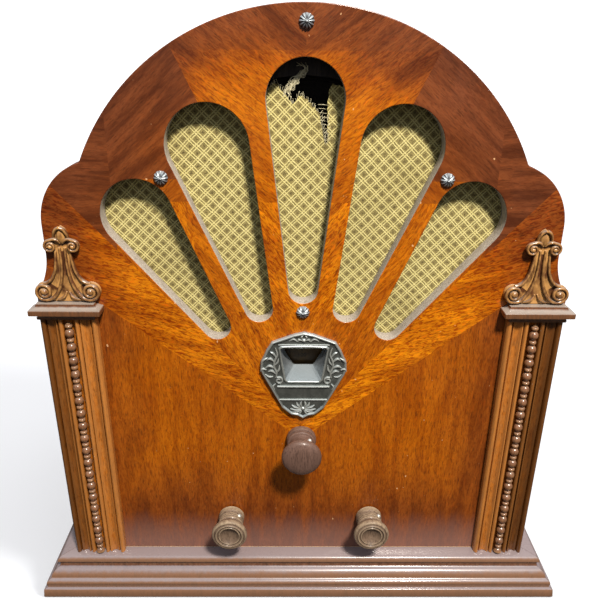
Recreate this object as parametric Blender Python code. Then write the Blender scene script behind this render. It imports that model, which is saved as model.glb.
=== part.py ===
"""Cathedral table radio, built as separate pieces. Blender 4.5, metres, +Z up, front towards -Y.

Lengths are written in millimetres and turned into metres when a mesh is made. Depth Y is written
from the front face of the front panel (0, growing towards the open back), then moved so that the
origin is the centre of the base's underside.
"""
import math

import bmesh
import bpy

MM = 0.001
GAP = 0.3                 # clearance between pieces that touch
RUNNING = 0.1             # radial clearance of a turning shaft in its bearing

# Cabinet
HALF_WIDTH = 188.0        # front panel, at the foot
PANEL_THICK = 12.7
CABINET_DEPTH = 240.0
BASE_HEIGHT = 32.0
BASE_OVERHANG = 24.0
CENTRE_Y = (CABINET_DEPTH - BASE_OVERHANG) / 2
ARCH_Z = 291.5
ARCH_R = 160.5
LOBE_X, LOBE_Z = 136.5, 313.5
LOBE_A, LOBE_B = 41.0, 43.4
FLARE_LOW, FLARE_HIGH = 262.0, 293.0
WRAP_SET_BACK = 2.0
WRAP_THICK = 8.0

# Sound openings: (big end x, z, radius, small end x, z, radius)
PETALS = (
    (0.0, 396.0, 25.3, 0.0, 267.0, 10.5),
    (63.5, 366.5, 27.5, 31.5, 252.0, 10.0),
    (-63.5, 366.5, 27.5, -31.5, 252.0, 10.0),
    (112.5, 320.5, 24.5, 62.0, 238.0, 10.0),
    (-112.5, 320.5, 24.5, -62.0, 238.0, 10.0),
)
ROSETTES = {"top": (0.0, 441.5), "left": (-94.5, 346.0), "right": (94.5, 346.0), "bottom": (0.0, 250.0)}

# Columns
COLUMN_X = 166.5
COLUMN_HALF = 20.0
COLUMN_TOP = 246.0
BEAD_PITCH = 11.2
BEAD_FIRST = 45.0
BEADS = 18
BEAD_R = 3.4
BEAD_Y = -6.0
FINIAL_X = 164.5
FINIAL_THICK = 5.0

# Dial, drive and controls
ESCUTCHEON_X = 1.0
TUNING_Z = 143.0
GANG_Z = 182.0
DRIVE_R = 35.0
ROLLER_R = 4.0
LOWER_X, LOWER_Z = 56.5, 66.0
SHAFT_R = 3.175
GANG_SHAFT_R = 4.0

# Chassis and speaker
CHASSIS_X = 150.0
CHASSIS_FRONT, CHASSIS_BACK = 34.0, 214.0
DECK_Z = 110.0
SHEET = 1.5
SPEAKER_Z = 322.0
BAFFLE_FRONT, BAFFLE_BACK = 14.6, 24.2
BAFFLE_LOW = 220.0
BAFFLE_R = 146.0


# ---- shapes: each is (points in mm, faces) ------------------------------------------------------

def prism_y(outline, y0, y1):
    """A flat outline in X and Z, extruded through the depth."""
    n = len(outline)
    points = [(x, y0, z) for x, z in outline] + [(x, y1, z) for x, z in outline]
    sides = [(i, (i + 1) % n, n + (i + 1) % n, n + i) for i in range(n)]
    return points, [tuple(range(n)), tuple(range(n, 2 * n))] + sides


def prism_z(outline, z0, z1):
    points, faces = prism_y(outline, z0, z1)
    return [(x, y, z) for x, z, y in points], faces


def box(low, high):
    (x0, y0, z0), (x1, y1, z1) = low, high
    return prism_y([(x0, z0), (x1, z0), (x1, z1), (x0, z1)], y0, y1)


def loft(rings, closed=False):
    """Rings of equally many points, skinned in order and capped unless the last meets the first."""
    n = len(rings[0])
    points = [point for ring in rings for point in ring]
    count = len(rings)
    faces = []
    for k in range(count if closed else count - 1):
        a, b = k * n, ((k + 1) % count) * n
        faces += [(a + i, a + (i + 1) % n, b + (i + 1) % n, b + i) for i in range(n)]
    if not closed:
        faces += [tuple(range(n)), tuple(range((count - 1) * n, count * n))]
    return points, faces


def lathe(profile, steps, centre, axis="Y"):
    """A profile of (radius, place along the axis) turned about Y or Z. A loop makes a ring."""
    points, rows = [], []
    for radius, along in profile:
        angles = [0.0] if radius == 0 else [2 * math.pi * k / steps for k in range(steps)]
        rows.append([len(points) + k for k in range(len(angles))])
        for angle in angles:
            u, v = radius * math.cos(angle), radius * math.sin(angle)
            if axis == "Y":
                points.append((centre[0] + u, along, centre[1] + v))
            else:
                points.append((centre[0] + u, centre[1] + v, along))
    if profile[0][0] and profile[-1][0]:
        rows.append(rows[0])
    faces = []
    for low, high in zip(rows, rows[1:]):
        for k in range(steps):
            corners = [low[k % len(low)], low[(k + 1) % len(low)]]
            corners += [high[(k + 1) % len(high)], high[k % len(high)]]
            face = tuple(dict.fromkeys(corners))
            if len(face) > 2:
                faces.append(face)
    return points, faces


def cylinder(radius, start, end, steps, centre, axis="Y"):
    return lathe([(0, start), (radius, start), (radius, end), (0, end)], steps, centre, axis)


def together(shapes):
    """Several separate shapes as one, for a cutter or a set of plates."""
    points, faces = [], []
    for some_points, some_faces in shapes:
        start = len(points)
        points += some_points
        faces += [tuple(start + i for i in face) for face in some_faces]
    return points, faces


def mirrored(shape):
    points, faces = shape
    return [(-x, y, z) for x, y, z in points], faces


# ---- objects ------------------------------------------------------------------------------------

def linear(hex_colour):
    values = [int(hex_colour[k:k + 2], 16) / 255 for k in (1, 3, 5)]
    return [v / 12.92 if v <= 0.04045 else ((v + 0.055) / 1.055) ** 2.4 for v in values]


def material(name, hex_colour, roughness, metallic, alpha=1.0):
    made = bpy.data.materials.new(name)
    made.use_nodes = True
    shader = made.node_tree.nodes["Principled BSDF"]
    shader.inputs["Base Color"].default_value = (*linear(hex_colour), 1)
    shader.inputs["Roughness"].default_value = roughness
    shader.inputs["Metallic"].default_value = metallic
    shader.inputs["Alpha"].default_value = alpha
    made.diffuse_color = (*linear(hex_colour), alpha)
    return made


def mesh_object(name, shape, pivot=(0, CENTRE_Y, 0)):
    """The pivot, in mm, becomes the object's origin: a moving piece has it on its joint's axis."""
    points, faces = shape
    local = [tuple((p - q) * MM for p, q in zip(point, pivot)) for point in points]
    mesh = bpy.data.meshes.new(name)
    mesh.from_pydata(local, [], faces)
    shell = bmesh.new()
    shell.from_mesh(mesh)
    bmesh.ops.recalc_face_normals(shell, faces=shell.faces)
    shell.to_mesh(mesh)
    shell.free()
    made = bpy.data.objects.new(name, mesh)
    made.location = (pivot[0] * MM, (pivot[1] - CENTRE_Y) * MM, pivot[2] * MM)
    bpy.context.scene.collection.objects.link(made)
    return made


def piece(name, shape, finish, pivot=(0, CENTRE_Y, 0), smooth_below=None):
    """One real piece, with its own material. smooth_below is the crease angle of a round piece."""
    made = mesh_object(name, shape, pivot)
    made.data.materials.append(material(name, *finish))
    if smooth_below:
        made.data.shade_smooth()
        made.data.set_sharp_from_angle(angle=math.radians(smooth_below))
    return made


def boolean(target, operation, shape):
    """Adds a hidden helper and an exact Boolean that joins it to the piece, or cuts it away."""
    number = len(target.modifiers)
    helper = mesh_object(f"{target.name}_helper_{number}", shape)
    helper.hide_render = True
    helper.display_type = "WIRE"
    step = target.modifiers.new(f"{operation.lower()}_{number}", "BOOLEAN")
    step.operation = operation
    step.solver = "EXACT"
    step.object = helper
    return target


# ---- cabinet ------------------------------------------------------------------------------------

WALNUT = ("#6b3413", 0.32, 0.0)
DARK_WOOD = ("#4a2817", 0.35, 0.0)
PLYWOOD = ("#b08a5c", 0.7, 0.0)
STEEL = ("#8d8f90", 0.4, 1.0)
BAKELITE = ("#3a2418", 0.3, 0.0)


def half_outline(inset):
    """The right edge of the arched front from its foot to its crown, moved in by inset."""
    points = [(HALF_WIDTH - inset, BASE_HEIGHT), (HALF_WIDTH - inset, FLARE_LOW)]
    shoulder = LOBE_X + LOBE_A
    for k in range(1, 7):
        t = k / 6
        ease = (1 - t) ** 2
        points.append((shoulder + (HALF_WIDTH - shoulder) * ease - inset,
                       FLARE_LOW + (FLARE_HIGH - FLARE_LOW) * t))
    radius = ARCH_R - inset
    for k in range(0, 91, 10):
        angle = math.radians(k)
        x = LOBE_X + (LOBE_A - inset) * math.cos(angle)
        z = LOBE_Z + (LOBE_B - inset) * math.sin(angle)
        if math.hypot(x, z - ARCH_Z) > radius:
            points.append((x, z))
    start = math.atan2(points[-1][1] - ARCH_Z, points[-1][0])
    steps = 16
    for k in range(1, steps + 1):
        angle = start + (math.pi / 2 - start) * k / steps
        points.append((radius * math.cos(angle), ARCH_Z + radius * math.sin(angle)))
    return points


def arch_outline(inset, foot):
    right = half_outline(inset)
    right[0] = (right[0][0], foot)
    left = [(-x, z) for x, z in reversed(right[:-1])]
    return right + left


def petal_outline(big_x, big_z, big_r, small_x, small_z, small_r):
    """Two circles and their outer tangents."""
    dx, dz = small_x - big_x, small_z - big_z
    axis = math.atan2(dz, dx)
    swing = math.acos((big_r - small_r) / math.hypot(dx, dz))
    points = []
    for k in range(13):
        angle = axis + swing + (2 * math.pi - 2 * swing) * k / 12
        points.append((big_x + big_r * math.cos(angle), big_z + big_r * math.sin(angle)))
    for k in range(7):
        angle = axis - swing + 2 * swing * k / 6
        points.append((small_x + small_r * math.cos(angle), small_z + small_r * math.sin(angle)))
    return points


def front_panel():
    panel = piece("front_panel", prism_y(arch_outline(0, BASE_HEIGHT + GAP), 0, PANEL_THICK), WALNUT)
    holes = [prism_y(petal_outline(*petal), -5, 20) for petal in PETALS]
    window = [(-17, 192.5), (19, 192.5), (21, 225.5), (-19, 225.5)]
    holes.append(prism_y(window, -5, 20))
    holes += [cylinder(2.0, -5, 20, 12, place) for place in ROSETTES.values()]
    shafts = ((0, TUNING_Z), (-LOWER_X, LOWER_Z), (LOWER_X, LOWER_Z))
    holes += [cylinder(5.0, -5, 20, 20, place) for place in shafts]
    boolean(panel, "DIFFERENCE", together(holes))


def cabinet_wrap():
    foot = BASE_HEIGHT + GAP
    outer = arch_outline(WRAP_SET_BACK, foot)
    inner = arch_outline(WRAP_SET_BACK + WRAP_THICK, foot)
    ring = outer + inner[::-1]
    piece("cabinet_wrap", prism_y(ring, PANEL_THICK + GAP, CABINET_DEPTH), WALNUT, smooth_below=30)


MOULDING = (
    (GAP, 0), (22.6, 0), (24.0, 1.4), (24.0, 6.8), (23.2, 7.9), (21.3, 8.3), (21.3, 10.6),
    (22.3, 12.8), (21.2, 14.9), (18.2, 15.4), (18.0, 17.6), (16.8, 20.2), (14.6, 21.9),
    (12.4, 22.4), (11.7, 25.4), (12.2, 28.6), (13.4, 29.5), (13.4, 31.0), (11.8, 32.0), (GAP, 32.0),
)


def base():
    low, high = (-HALF_WIDTH, 0, 0), (HALF_WIDTH, CABINET_DEPTH, BASE_HEIGHT)
    piece("base_board", box(low, high), PLYWOOD)
    ends = []
    for side in (-1, 1):
        ends.append([(side * (HALF_WIDTH + p - GAP), -p, z) for p, z in MOULDING])
    piece("base_moulding_front", loft(ends), DARK_WOOD, smooth_below=40)
    rings = [[(HALF_WIDTH + p, -p + GAP, z) for p, z in MOULDING],
             [(HALF_WIDTH + p, CABINET_DEPTH, z) for p, z in MOULDING]]
    piece("base_moulding_right", loft(rings), DARK_WOOD, smooth_below=40)
    piece("base_moulding_left", mirrored(loft(rings)), DARK_WOOD, smooth_below=40)


COLUMN_SECTION = (
    (-20, -GAP), (-20, -5.2), (-19.2, -6.6), (-18, -7), (-16.8, -6.6), (-15.6, -5.2), (-13.4, -4.2),
    (-11, -3.8), (-8.6, -4.2), (-6.8, -5.4), (-6.2, -6.6), (-5.4, -7), (-4.6, -6.6), (-4.2, -5.4),
    (-4.2, -2.2),
)


def column_shape():
    section = list(COLUMN_SECTION) + [(-u, y) for u, y in reversed(COLUMN_SECTION)]
    return prism_z([(COLUMN_X + u, y) for u, y in section], BASE_HEIGHT + GAP, COLUMN_TOP)


def bead_shape():
    profile = [(0, BASE_HEIGHT + GAP + 3), (1.5, BASE_HEIGHT + GAP + 3)]
    for k in range(BEADS):
        middle = BEAD_FIRST + BEAD_PITCH * k
        for along, radius in ((-3.1, 1.5), (-1.4, BEAD_R - 0.2), (1.4, BEAD_R - 0.2), (3.1, 1.5)):
            profile.append((radius, middle + along))
    profile += [(1.5, COLUMN_TOP - 2), (0, COLUMN_TOP - 2)]
    return lathe(profile, 6, (COLUMN_X, BEAD_Y), "Z")


def capital_shape():
    """Rectangular rings (inner x, outer x, front y, height) that step out under the top slab."""
    rings = []
    for inner, outer, front, z in (
        (146.5, 187.0, -8.2, 246.3), (146.5, 187.0, -8.2, 248.6), (144.0, 189.4, -10.2, 250.6),
        (142.2, 190.9, -11.8, 251.2), (142.0, 191.3, -12.0, 255.0), (143.4, 189.8, -10.6, 257.0),
        (144.6, 188.6, -9.4, 258.3),
    ):
        rings.append([(inner, -GAP, z), (outer, -GAP, z), (outer, front, z), (inner, front, z)])
    return loft(rings)


def finial_outline():
    """Half of the carved scroll, from the middle of its foot to its bud."""
    half = [(0, 258.6), (9, 258.8)]
    for degrees in range(-90, 121, 30):
        angle = math.radians(degrees)
        half.append((16 + 6.9 * math.cos(angle), 266.2 + 6.9 * math.sin(angle)))
    half += [(9.6, 275.5), (7.4, 282), (6.0, 289), (5.2, 294)]
    for degrees in range(-100, 111, 35):
        angle = math.radians(degrees)
        half.append((7.4 + 4.2 * math.cos(angle), 299.2 + 4.2 * math.sin(angle)))
    half += [(5.0, 304.8), (4.6, 308.2), (2.8, 311.8), (0, 314.0)]
    return [(FINIAL_X + u, z) for u, z in half] + [(FINIAL_X - u, z) for u, z in reversed(half[1:-1])]


def finial(name, side):
    flip = mirrored if side < 0 else (lambda shape: shape)
    made = piece(name, flip(prism_y(finial_outline(), -FINIAL_THICK + 1, -GAP)), DARK_WOOD, smooth_below=35)
    bosses = []
    for u, z, radius in ((16, 266.2, 6.2), (-16, 266.2, 6.2), (7.4, 299.2, 3.8), (-7.4, 299.2, 3.8)):
        profile = [(0, -1), (radius, -1), (radius, -4.8), (radius * 0.5, -FINIAL_THICK - 1.4), (0, -FINIAL_THICK - 1.4)]
        bosses.append(lathe(profile, 8, (FINIAL_X + u, z)))
    boolean(made, "UNION", flip(together(bosses)))


def columns():
    for name, side in (("left", -1), ("right", 1)):
        flip = mirrored if side < 0 else (lambda shape: shape)
        piece(f"pilaster_{name}", flip(column_shape()), WALNUT, smooth_below=30)
        piece(f"bead_string_{name}", flip(bead_shape()), DARK_WOOD, smooth_below=60)
        piece(f"capital_{name}", flip(capital_shape()), DARK_WOOD)
        finial(f"finial_{name}", side)


# ---- escutcheon and screws ----------------------------------------------------------------------

KEYSTONE = (
    (0, 234.8), (7, 233.2), (23.5, 226.8), (27.6, 220), (29.6, 215), (31.6, 211), (32, 204.5),
    (30.6, 200.5), (15.8, 171.5), (9, 165.5), (4, 164.6), (0, 162.2),
)
EYE_Z = 208.0


def ring_of(outline, angles, grow=0.0):
    """Where rays from the middle of the dial window meet an outline, moved out by grow."""
    found = []
    for angle in angles:
        dx, dz = math.cos(angle), math.sin(angle)
        best = 0.0
        for (x0, z0), (x1, z1) in zip(outline, outline[1:] + outline[:1]):
            ex, ez = x1 - x0, z1 - z0
            cross = dx * ez - dz * ex
            if abs(cross) < 1e-9:
                continue
            reach = (x0 * ez - (z0 - EYE_Z) * ex) / cross
            along = (x0 * dz - (z0 - EYE_Z) * dx) / cross
            if reach > 0 and -1e-6 <= along <= 1 + 1e-6:
                best = max(best, reach)
        found.append((ESCUTCHEON_X + (best + grow) * dx, EYE_Z + (best + grow) * dz))
    return found


def escutcheon():
    outline = list(KEYSTONE) + [(-x, z) for x, z in reversed(KEYSTONE[1:-1])]
    mouth = [(-15.5, 222.5), (-17, 221), (-13.2, 197), (-11.4, 195), (11.4, 195), (13.2, 197), (17, 221), (15.5, 222.5)]
    throat = [(-15.5, 218.5), (-16.2, 217.4), (-7.9, 202.6), (-7.2, 202), (7.2, 202), (7.9, 202.6), (16.2, 217.4), (15.5, 218.5)]
    angles = []
    for x, z in outline + mouth + throat:
        angle = math.atan2(z - EYE_Z, x)
        if all(abs(angle - other) > math.radians(3.4) for other in angles):
            angles.append(angle)
    angles.sort()
    rings = []
    for shape, grow, y in (
        (outline, 0, -GAP), (outline, 0, -3.0), (outline, -0.6, -3.6), (outline, -1.8, -3.6),
        (outline, -2.4, -2.6), (mouth, 1.6, -2.6), (mouth, 1.2, -3.2), (mouth, 0.2, -3.2),
        (throat, 0, 10.6), (throat, 0.9, 10.6), (mouth, 1.0, -GAP),
    ):
        rings.append([(x, y, z) for x, z in ring_of(shape, angles, grow)])
    piece("escutcheon", loft(rings, closed=True), ("#6d6f66", 0.45, 1.0), smooth_below=30)


def rosette_screws():
    for name, (x, z) in ROSETTES.items():
        profile = [(0, -3.4), (2.4, -3.1), (4.2, -1.9), (4.8, -GAP), (1.6, -GAP), (1.6, 11), (0, 12.4)]
        piece(f"rosette_screw_{name}", lathe(profile, 12, (x, z)), ("#5c5a55", 0.4, 1.0), smooth_below=35)


# ---- knobs and shafts ---------------------------------------------------------------------------

def radial_screw(x, z, y, low, high, radius):
    """A small cylinder square to a shaft, leaning 45 degrees up and to the right."""
    points, faces = cylinder(radius, low, high, 8, (0, 0), "Z")
    lean = math.sin(math.radians(45))
    moved = [(x + (h + u) * lean, y + v, z + (h - u) * lean) for u, v, h in points]
    return moved, faces


def knob(name, x, z, profile, neck_y, neck_r, colour):
    pivot = (x, 0, z)
    made = piece(f"knob_{name}", lathe(profile, 18, (x, z)), colour, pivot, 40)
    boolean(made, "DIFFERENCE", radial_screw(x, z, neck_y, 2.5, neck_r + 4, 1.9))
    screw = radial_screw(x, z, neck_y, SHAFT_R + GAP, neck_r - 0.5, 1.6)
    piece(f"set_screw_{name}", screw, ("#9a9384", 0.35, 1.0), pivot, 40)


def knobs():
    tuning = [
        (0, -31.0), (7.5, -30.6), (12.2, -29.4), (14.6, -27.4), (15, -25.4), (14.2, -23.4), (11.2, -21.6),
        (8.6, -18.6), (8.1, -14.5), (9.2, -10.2), (10.8, -9.2), (10.8, -7.4), (9.6, -6.6), (11.4, -5.4),
        (11.4, -1.2), (3.5, -1.2), (3.5, -22), (0, -22),
    ]
    knob("tuning", 0, TUNING_Z, tuning, -13.5, 8.3, BAKELITE)
    lower = [
        (0, -23.4), (4.6, -23.6), (7.6, -24.9), (10.4, -25.4), (12.8, -24.8), (14, -22.8), (13.8, -20.6),
        (11.6, -18.8), (9.7, -17.2), (9.5, -14.6), (10.3, -13.8), (10.3, -12.4), (9.4, -11.6), (9.4, -6.8),
        (10.3, -5.8), (10.3, -1.2), (3.5, -1.2), (3.5, -17), (0, -17),
    ]
    knob("volume", -LOWER_X, LOWER_Z, lower, -9.2, 9.4, ("#6e5444", 0.35, 0.0))
    knob("tone", LOWER_X, LOWER_Z, lower, -9.2, 9.4, ("#6e5444", 0.35, 0.0))


def shafts():
    groove = ROLLER_R - GAP
    profile = [
        (0, -21.7), (SHAFT_R, -21.7), (SHAFT_R, 15.1), (6.2, 15.1), (6.2, 16.3), (groove, 16.3),
        (groove, 18.1), (6.2, 18.1), (6.2, 19.3), (SHAFT_R, 19.3), (SHAFT_R, 38.8), (5, 38.8),
        (5, 40.4), (0, 40.4),
    ]
    brass = ("#b39b5e", 0.3, 1.0)
    piece("tuning_shaft", lathe(profile, 16, (0, TUNING_Z)), brass, (0, 0, TUNING_Z), 40)
    for name, x in (("volume", -LOWER_X), ("tone", LOWER_X)):
        shape = cylinder(SHAFT_R, -16.7, 45.5, 16, (x, LOWER_Z))
        piece(f"{name}_shaft", shape, STEEL, (x, 0, LOWER_Z), 40)


def control(name, x, radius, back):
    bore = SHAFT_R + RUNNING
    profile = [
        (0, 46), (bore, 46), (bore, 24), (4.6, 24), (4.6, 30.6), (7.4, 30.6), (7.4, 33.4), (4.6, 33.4),
        (4.6, 35.9), (radius, 35.9), (radius, back), (0, back),
    ]
    piece(name, lathe(profile, 16, (x, LOWER_Z)), STEEL, smooth_below=40)


def tuning_bracket():
    side = [(35.0, DECK_Z + GAP), (45.0, DECK_Z + GAP), (45.0, DECK_Z + 1.9), (36.8, DECK_Z + 1.9), (36.8, 152), (35.0, 152)]
    ends = [[(x, y, z) for y, z in side] for x in (-12, 12)]
    made = piece("tuning_bracket", loft(ends), STEEL, smooth_below=30)
    boolean(made, "UNION", cylinder(6.4, 24, 38.4, 16, (0, TUNING_Z)))
    boolean(made, "DIFFERENCE", cylinder(SHAFT_R + RUNNING, 20, 42, 16, (0, TUNING_Z)))


# ---- tuning condenser, dial and lamp ------------------------------------------------------------

GANG_STARTS = (51.0, 73.0, 95.0)
PLATE_PITCH = 5.0


def condenser_frame():
    aluminium = ("#a9abab", 0.45, 1.0)
    made = piece("condenser_frame", box((-34, 46, 146), (34, 117.6, 147.6)), aluminium)
    walls = [box((-34, y, 146.8), (34, y + 1.6, 206)) for y in (46.0, 116.0)]
    walls += [box((-28, y, 146.8), (28, y + 1.0, 172)) for y in (70.0, 92.0)]
    posts = [cylinder(4, DECK_Z + GAP, 147, 12, (x, y), "Z") for x in (-26, 26) for y in (54.0, 110.0)]
    boolean(made, "UNION", together(walls + posts))
    boolean(made, "DIFFERENCE", cylinder(GANG_SHAFT_R + RUNNING, 44, 120, 16, (0, GANG_Z)))


def condenser_rotor():
    profile = [
        (0, 13.2), (GANG_SHAFT_R, 13.2), (GANG_SHAFT_R, 48.4), (6, 48.4), (6, 115.2),
        (GANG_SHAFT_R, 115.2), (GANG_SHAFT_R, 122), (0, 122),
    ]
    made = piece("condenser_rotor", lathe(profile, 16, (0, GANG_Z)), ("#b4b5b3", 0.35, 1.0), (0, 0, GANG_Z), 40)
    half_disc = [(28 * math.cos(math.radians(k)), GANG_Z + 28 * math.sin(math.radians(k))) for k in range(180, 361, 20)]
    half_disc += [(10, GANG_Z + 4), (-10, GANG_Z + 4)]
    plates = []
    for start in GANG_STARTS:
        plates += [prism_y(half_disc, start + 2 + PLATE_PITCH * k, start + 3 + PLATE_PITCH * k) for k in range(3)]
    boolean(made, "UNION", together(plates))


def condenser_stator():
    notch = [(8.5 * math.cos(math.radians(k)), GANG_Z + 8.5 * math.sin(math.radians(k))) for k in range(340, 199, -28)]
    outline = [(-31, 151), (31, 151), (31, GANG_Z - 1)] + notch + [(-31, GANG_Z - 1)]
    made = piece("condenser_stator", box((29, 47.9, 172), (33, 115.7, 178)), ("#c3c4c2", 0.35, 1.0))
    plates = []
    for start in GANG_STARTS:
        plates += [prism_y(outline, start + PLATE_PITCH * k, start + 1 + PLATE_PITCH * k) for k in range(4)]
    boolean(made, "UNION", together(plates))
    boolean(made, "UNION", box((-33, 47.9, 172), (-29, 115.7, 178)))


def dial():
    pivot = (0, 0, GANG_Z)
    bore = GANG_SHAFT_R + GAP
    disc = [(bore, 15.1), (8, 15.1), (8, 16.6), (DRIVE_R, 16.6), (DRIVE_R, 17.8), (9, 17.8), (9, 25), (bore, 25)]
    made = piece("drive_disc", lathe(disc, 30, (0, GANG_Z)), ("#b39b5e", 0.3, 1.0), pivot, 40)
    holes = []
    for k in range(6):
        angle = math.radians(90 + 60 * k)
        place = (23.5 * math.cos(angle), GANG_Z + 23.5 * math.sin(angle))
        holes.append(cylinder(7.5, 14, 20, 10, place))
    boolean(made, "DIFFERENCE", together(holes))
    scale = [(bore, 14.0), (DRIVE_R + 0.2, 14.0), (DRIVE_R + 0.2, 14.8), (bore, 14.8)]
    piece("dial_scale", lathe(scale, 30, (0, GANG_Z)), ("#c9a45a", 0.4, 0.0), pivot, 40)


def dial_lamp():
    made = piece("lamp_bracket", box((-6, 44.0, 192), (6, 45.7, 217)), ("#b39b5e", 0.35, 1.0))
    boolean(made, "UNION", cylinder(5.4, 33, 44.6, 16, (0, 211)))
    bulb = [(0, 20.6), (2.6, 21.2), (4.6, 23.4), (5.1, 26), (4.6, 28.8), (4.2, 32.7), (0, 32.7)]
    piece("dial_lamp", lathe(bulb, 14, (0, 211)), ("#e9ecec", 0.05, 0.0, 0.35), smooth_below=50)


# ---- chassis and what stands on it --------------------------------------------------------------

def chassis():
    foot = BASE_HEIGHT + GAP
    low, high = (-CHASSIS_X, CHASSIS_FRONT, foot), (CHASSIS_X, CHASSIS_BACK, DECK_Z)
    made = piece("chassis", box(low, high), ("#8b8e8c", 0.5, 1.0))
    inner_low = (-CHASSIS_X + SHEET, CHASSIS_FRONT + SHEET, foot - 5)
    inner_high = (CHASSIS_X - SHEET, CHASSIS_BACK - SHEET, DECK_Z - SHEET)
    boolean(made, "DIFFERENCE", box(inner_low, inner_high))
    holes = [cylinder(5.0, 30, 39, 20, (x, LOWER_Z)) for x in (-LOWER_X, LOWER_X)]
    holes.append(cylinder(7.0, 208, 220, 20, (-110, 62)))
    boolean(made, "DIFFERENCE", together(holes))
    ring = [(4, 210.4), (9.5, 210.4), (9.5, 212.2), (6.7, 212.2), (6.7, 214.3), (9.5, 214.3), (9.5, 216), (4, 216)]
    piece("lead_grommet", lathe(ring, 12, (-110, 62)), ("#1c1b1a", 0.7, 0.0), smooth_below=40)


def transformer():
    foot = DECK_Z + GAP
    made = piece("power_transformer", box((74, 135, 134), (140, 205, 168)), ("#2b2a2a", 0.45, 0.6))
    rings = []
    for inset, z in ((5, foot), (5, 150), (5, 180), (7, 185), (12, 187.5)):
        rings.append([(74 + inset, 135 + inset, z), (140 - inset, 135 + inset, z),
                      (140 - inset, 205 - inset, z), (74 + inset, 205 - inset, z)])
    boolean(made, "UNION", loft(rings))


def can(name, place, radius, height, finish):
    foot = DECK_Z + GAP
    top = DECK_Z + height
    profile = [
        (0, foot), (radius + 2.5, foot), (radius + 2.5, foot + 1.5), (radius, foot + 1.5),
        (radius, top - 4), (radius - 1.2, top - 1.2), (radius - 4, top), (0, top),
    ]
    piece(name, lathe(profile, 16, place, "Z"), finish, smooth_below=40)


def tube_shield(name, place):
    foot = DECK_Z + GAP
    profile = [
        (0, foot), (22.5, foot), (22.5, foot + 2), (20, foot + 2), (20, 178), (18, 182), (18, 198),
        (15, 204), (7, 205.5), (7, 212), (0, 212),
    ]
    piece(name, lathe(profile, 16, place, "Z"), ("#9d9f9d", 0.4, 1.0), smooth_below=40)


def tube(name, place, scale):
    foot = DECK_Z + GAP
    top = 145.0
    socket = [
        (0, foot), (21.5, foot), (21.5, foot + 2), (17.4, foot + 2), (17.4, foot + 8), (16.2, foot + 8.6),
        (16.2, top), (0, top),
    ]
    piece(f"{name}_base", lathe(socket, 16, place, "Z"), ("#1d1613", 0.25, 0.0), smooth_below=40)
    glass = [
        (0, 0), (15.4, 0), (15.4, 3), (18.5, 12), (22, 22), (22.6, 30), (21.4, 40), (16.8, 48),
        (14.6, 54), (14.2, 66), (12, 73), (7, 77.4), (0, 78.6),
    ]
    shape = [(r * (1 if h < 4 else scale), top + GAP + h * scale) for r, h in glass]
    piece(f"{name}_glass", lathe(shape, 14, place, "Z"), ("#cdd3d2", 0.05, 0.0, 0.35), smooth_below=60)


def deck_parts():
    transformer()
    silver = ("#a9abaa", 0.35, 1.0)
    can("coil_can_left", (-70, 120), 18, 76, silver)
    can("coil_can_right", (74, 95), 18, 76, silver)
    can("filter_can_front", (120, 54), 17, 84, ("#b2b3b0", 0.4, 1.0))
    can("filter_can_back", (120, 98), 17, 84, ("#b2b3b0", 0.4, 1.0))
    tube_shield("tube_shield_front", (-112, 92))
    tube_shield("tube_shield_back", (-112, 148))
    tube("rectifier_tube", (42, 178), 1.06)
    tube("output_tube", (-12, 180), 1.0)
    tube("detector_tube", (-66, 182), 0.92)


# ---- speaker ------------------------------------------------------------------------------------

def baffle_outline(inset):
    radius = BAFFLE_R - inset
    arc = [math.radians(k) for k in range(0, 181, 9)]
    points = [(radius * math.cos(a), ARCH_Z + radius * math.sin(a)) for a in arc]
    return points + [(-radius, BAFFLE_LOW + inset), (radius, BAFFLE_LOW + inset)]


def baffle_and_cloth():
    made = piece("speaker_baffle", prism_y(baffle_outline(0), BAFFLE_FRONT, BAFFLE_BACK), PLYWOOD)
    boolean(made, "DIFFERENCE", cylinder(88, 10, 30, 32, (0, SPEAKER_Z)))
    cloth = prism_y(baffle_outline(1.5), BAFFLE_FRONT - GAP - 0.6, BAFFLE_FRONT - GAP)
    piece("grille_cloth", cloth, ("#b3a26a", 0.9, 0.0))


def speaker():
    centre = (0, SPEAKER_Z)
    basket = [
        (93.5, 24.5), (100, 24.5), (100, 26.5), (95.2, 27.2), (90, 39), (40, 78.2),
        (16, 78.2), (16, 76.4), (38, 76.0), (88.2, 38),
    ]
    made = piece("speaker_basket", lathe(basket, 24, centre), ("#3b3a38", 0.5, 0.6), smooth_below=40)
    windows = []
    for k in range(6):
        angle = math.radians(60 * k)
        c, s = math.cos(angle), math.sin(angle)
        block, faces = box((50, 34, -15), (84, 76, 15))
        windows.append(([(u * c - v * s, y, SPEAKER_Z + u * s + v * c) for u, y, v in block], faces))
    boolean(made, "DIFFERENCE", together(windows))
    cone = [
        (0, 57), (12.8, 61), (82.4, 29.8), (86.0, 27.8), (90.2, 27.8), (90.2, 28.8),
        (86.6, 29), (15, 62), (15, 79), (14, 79), (14, 62.4), (0, 58.4),
    ]
    piece("speaker_cone", lathe(cone, 24, centre), ("#4a443c", 0.9, 0.0), (0, 28, SPEAKER_Z), 40)
    pot = [
        (0, 72), (12.4, 72), (12.4, 86), (16.6, 86), (16.6, 78.6), (38, 78.6), (38, 134), (35, 137), (0, 137),
    ]
    piece("field_coil_pot", lathe(pot, 24, centre), ("#33322f", 0.5, 0.6), smooth_below=40)
    made = piece("output_transformer", box((-26, 92, 366), (26, 112, 404)), ("#4a4846", 0.5, 0.7))
    foot = SPEAKER_Z + 38 + GAP
    boolean(made, "UNION", together([box((-17, 84, 372), (17, 120, 398)), box((-26, 96, foot), (-22, 108, 367)),
                                     box((22, 96, foot), (26, 108, 367))]))


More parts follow.
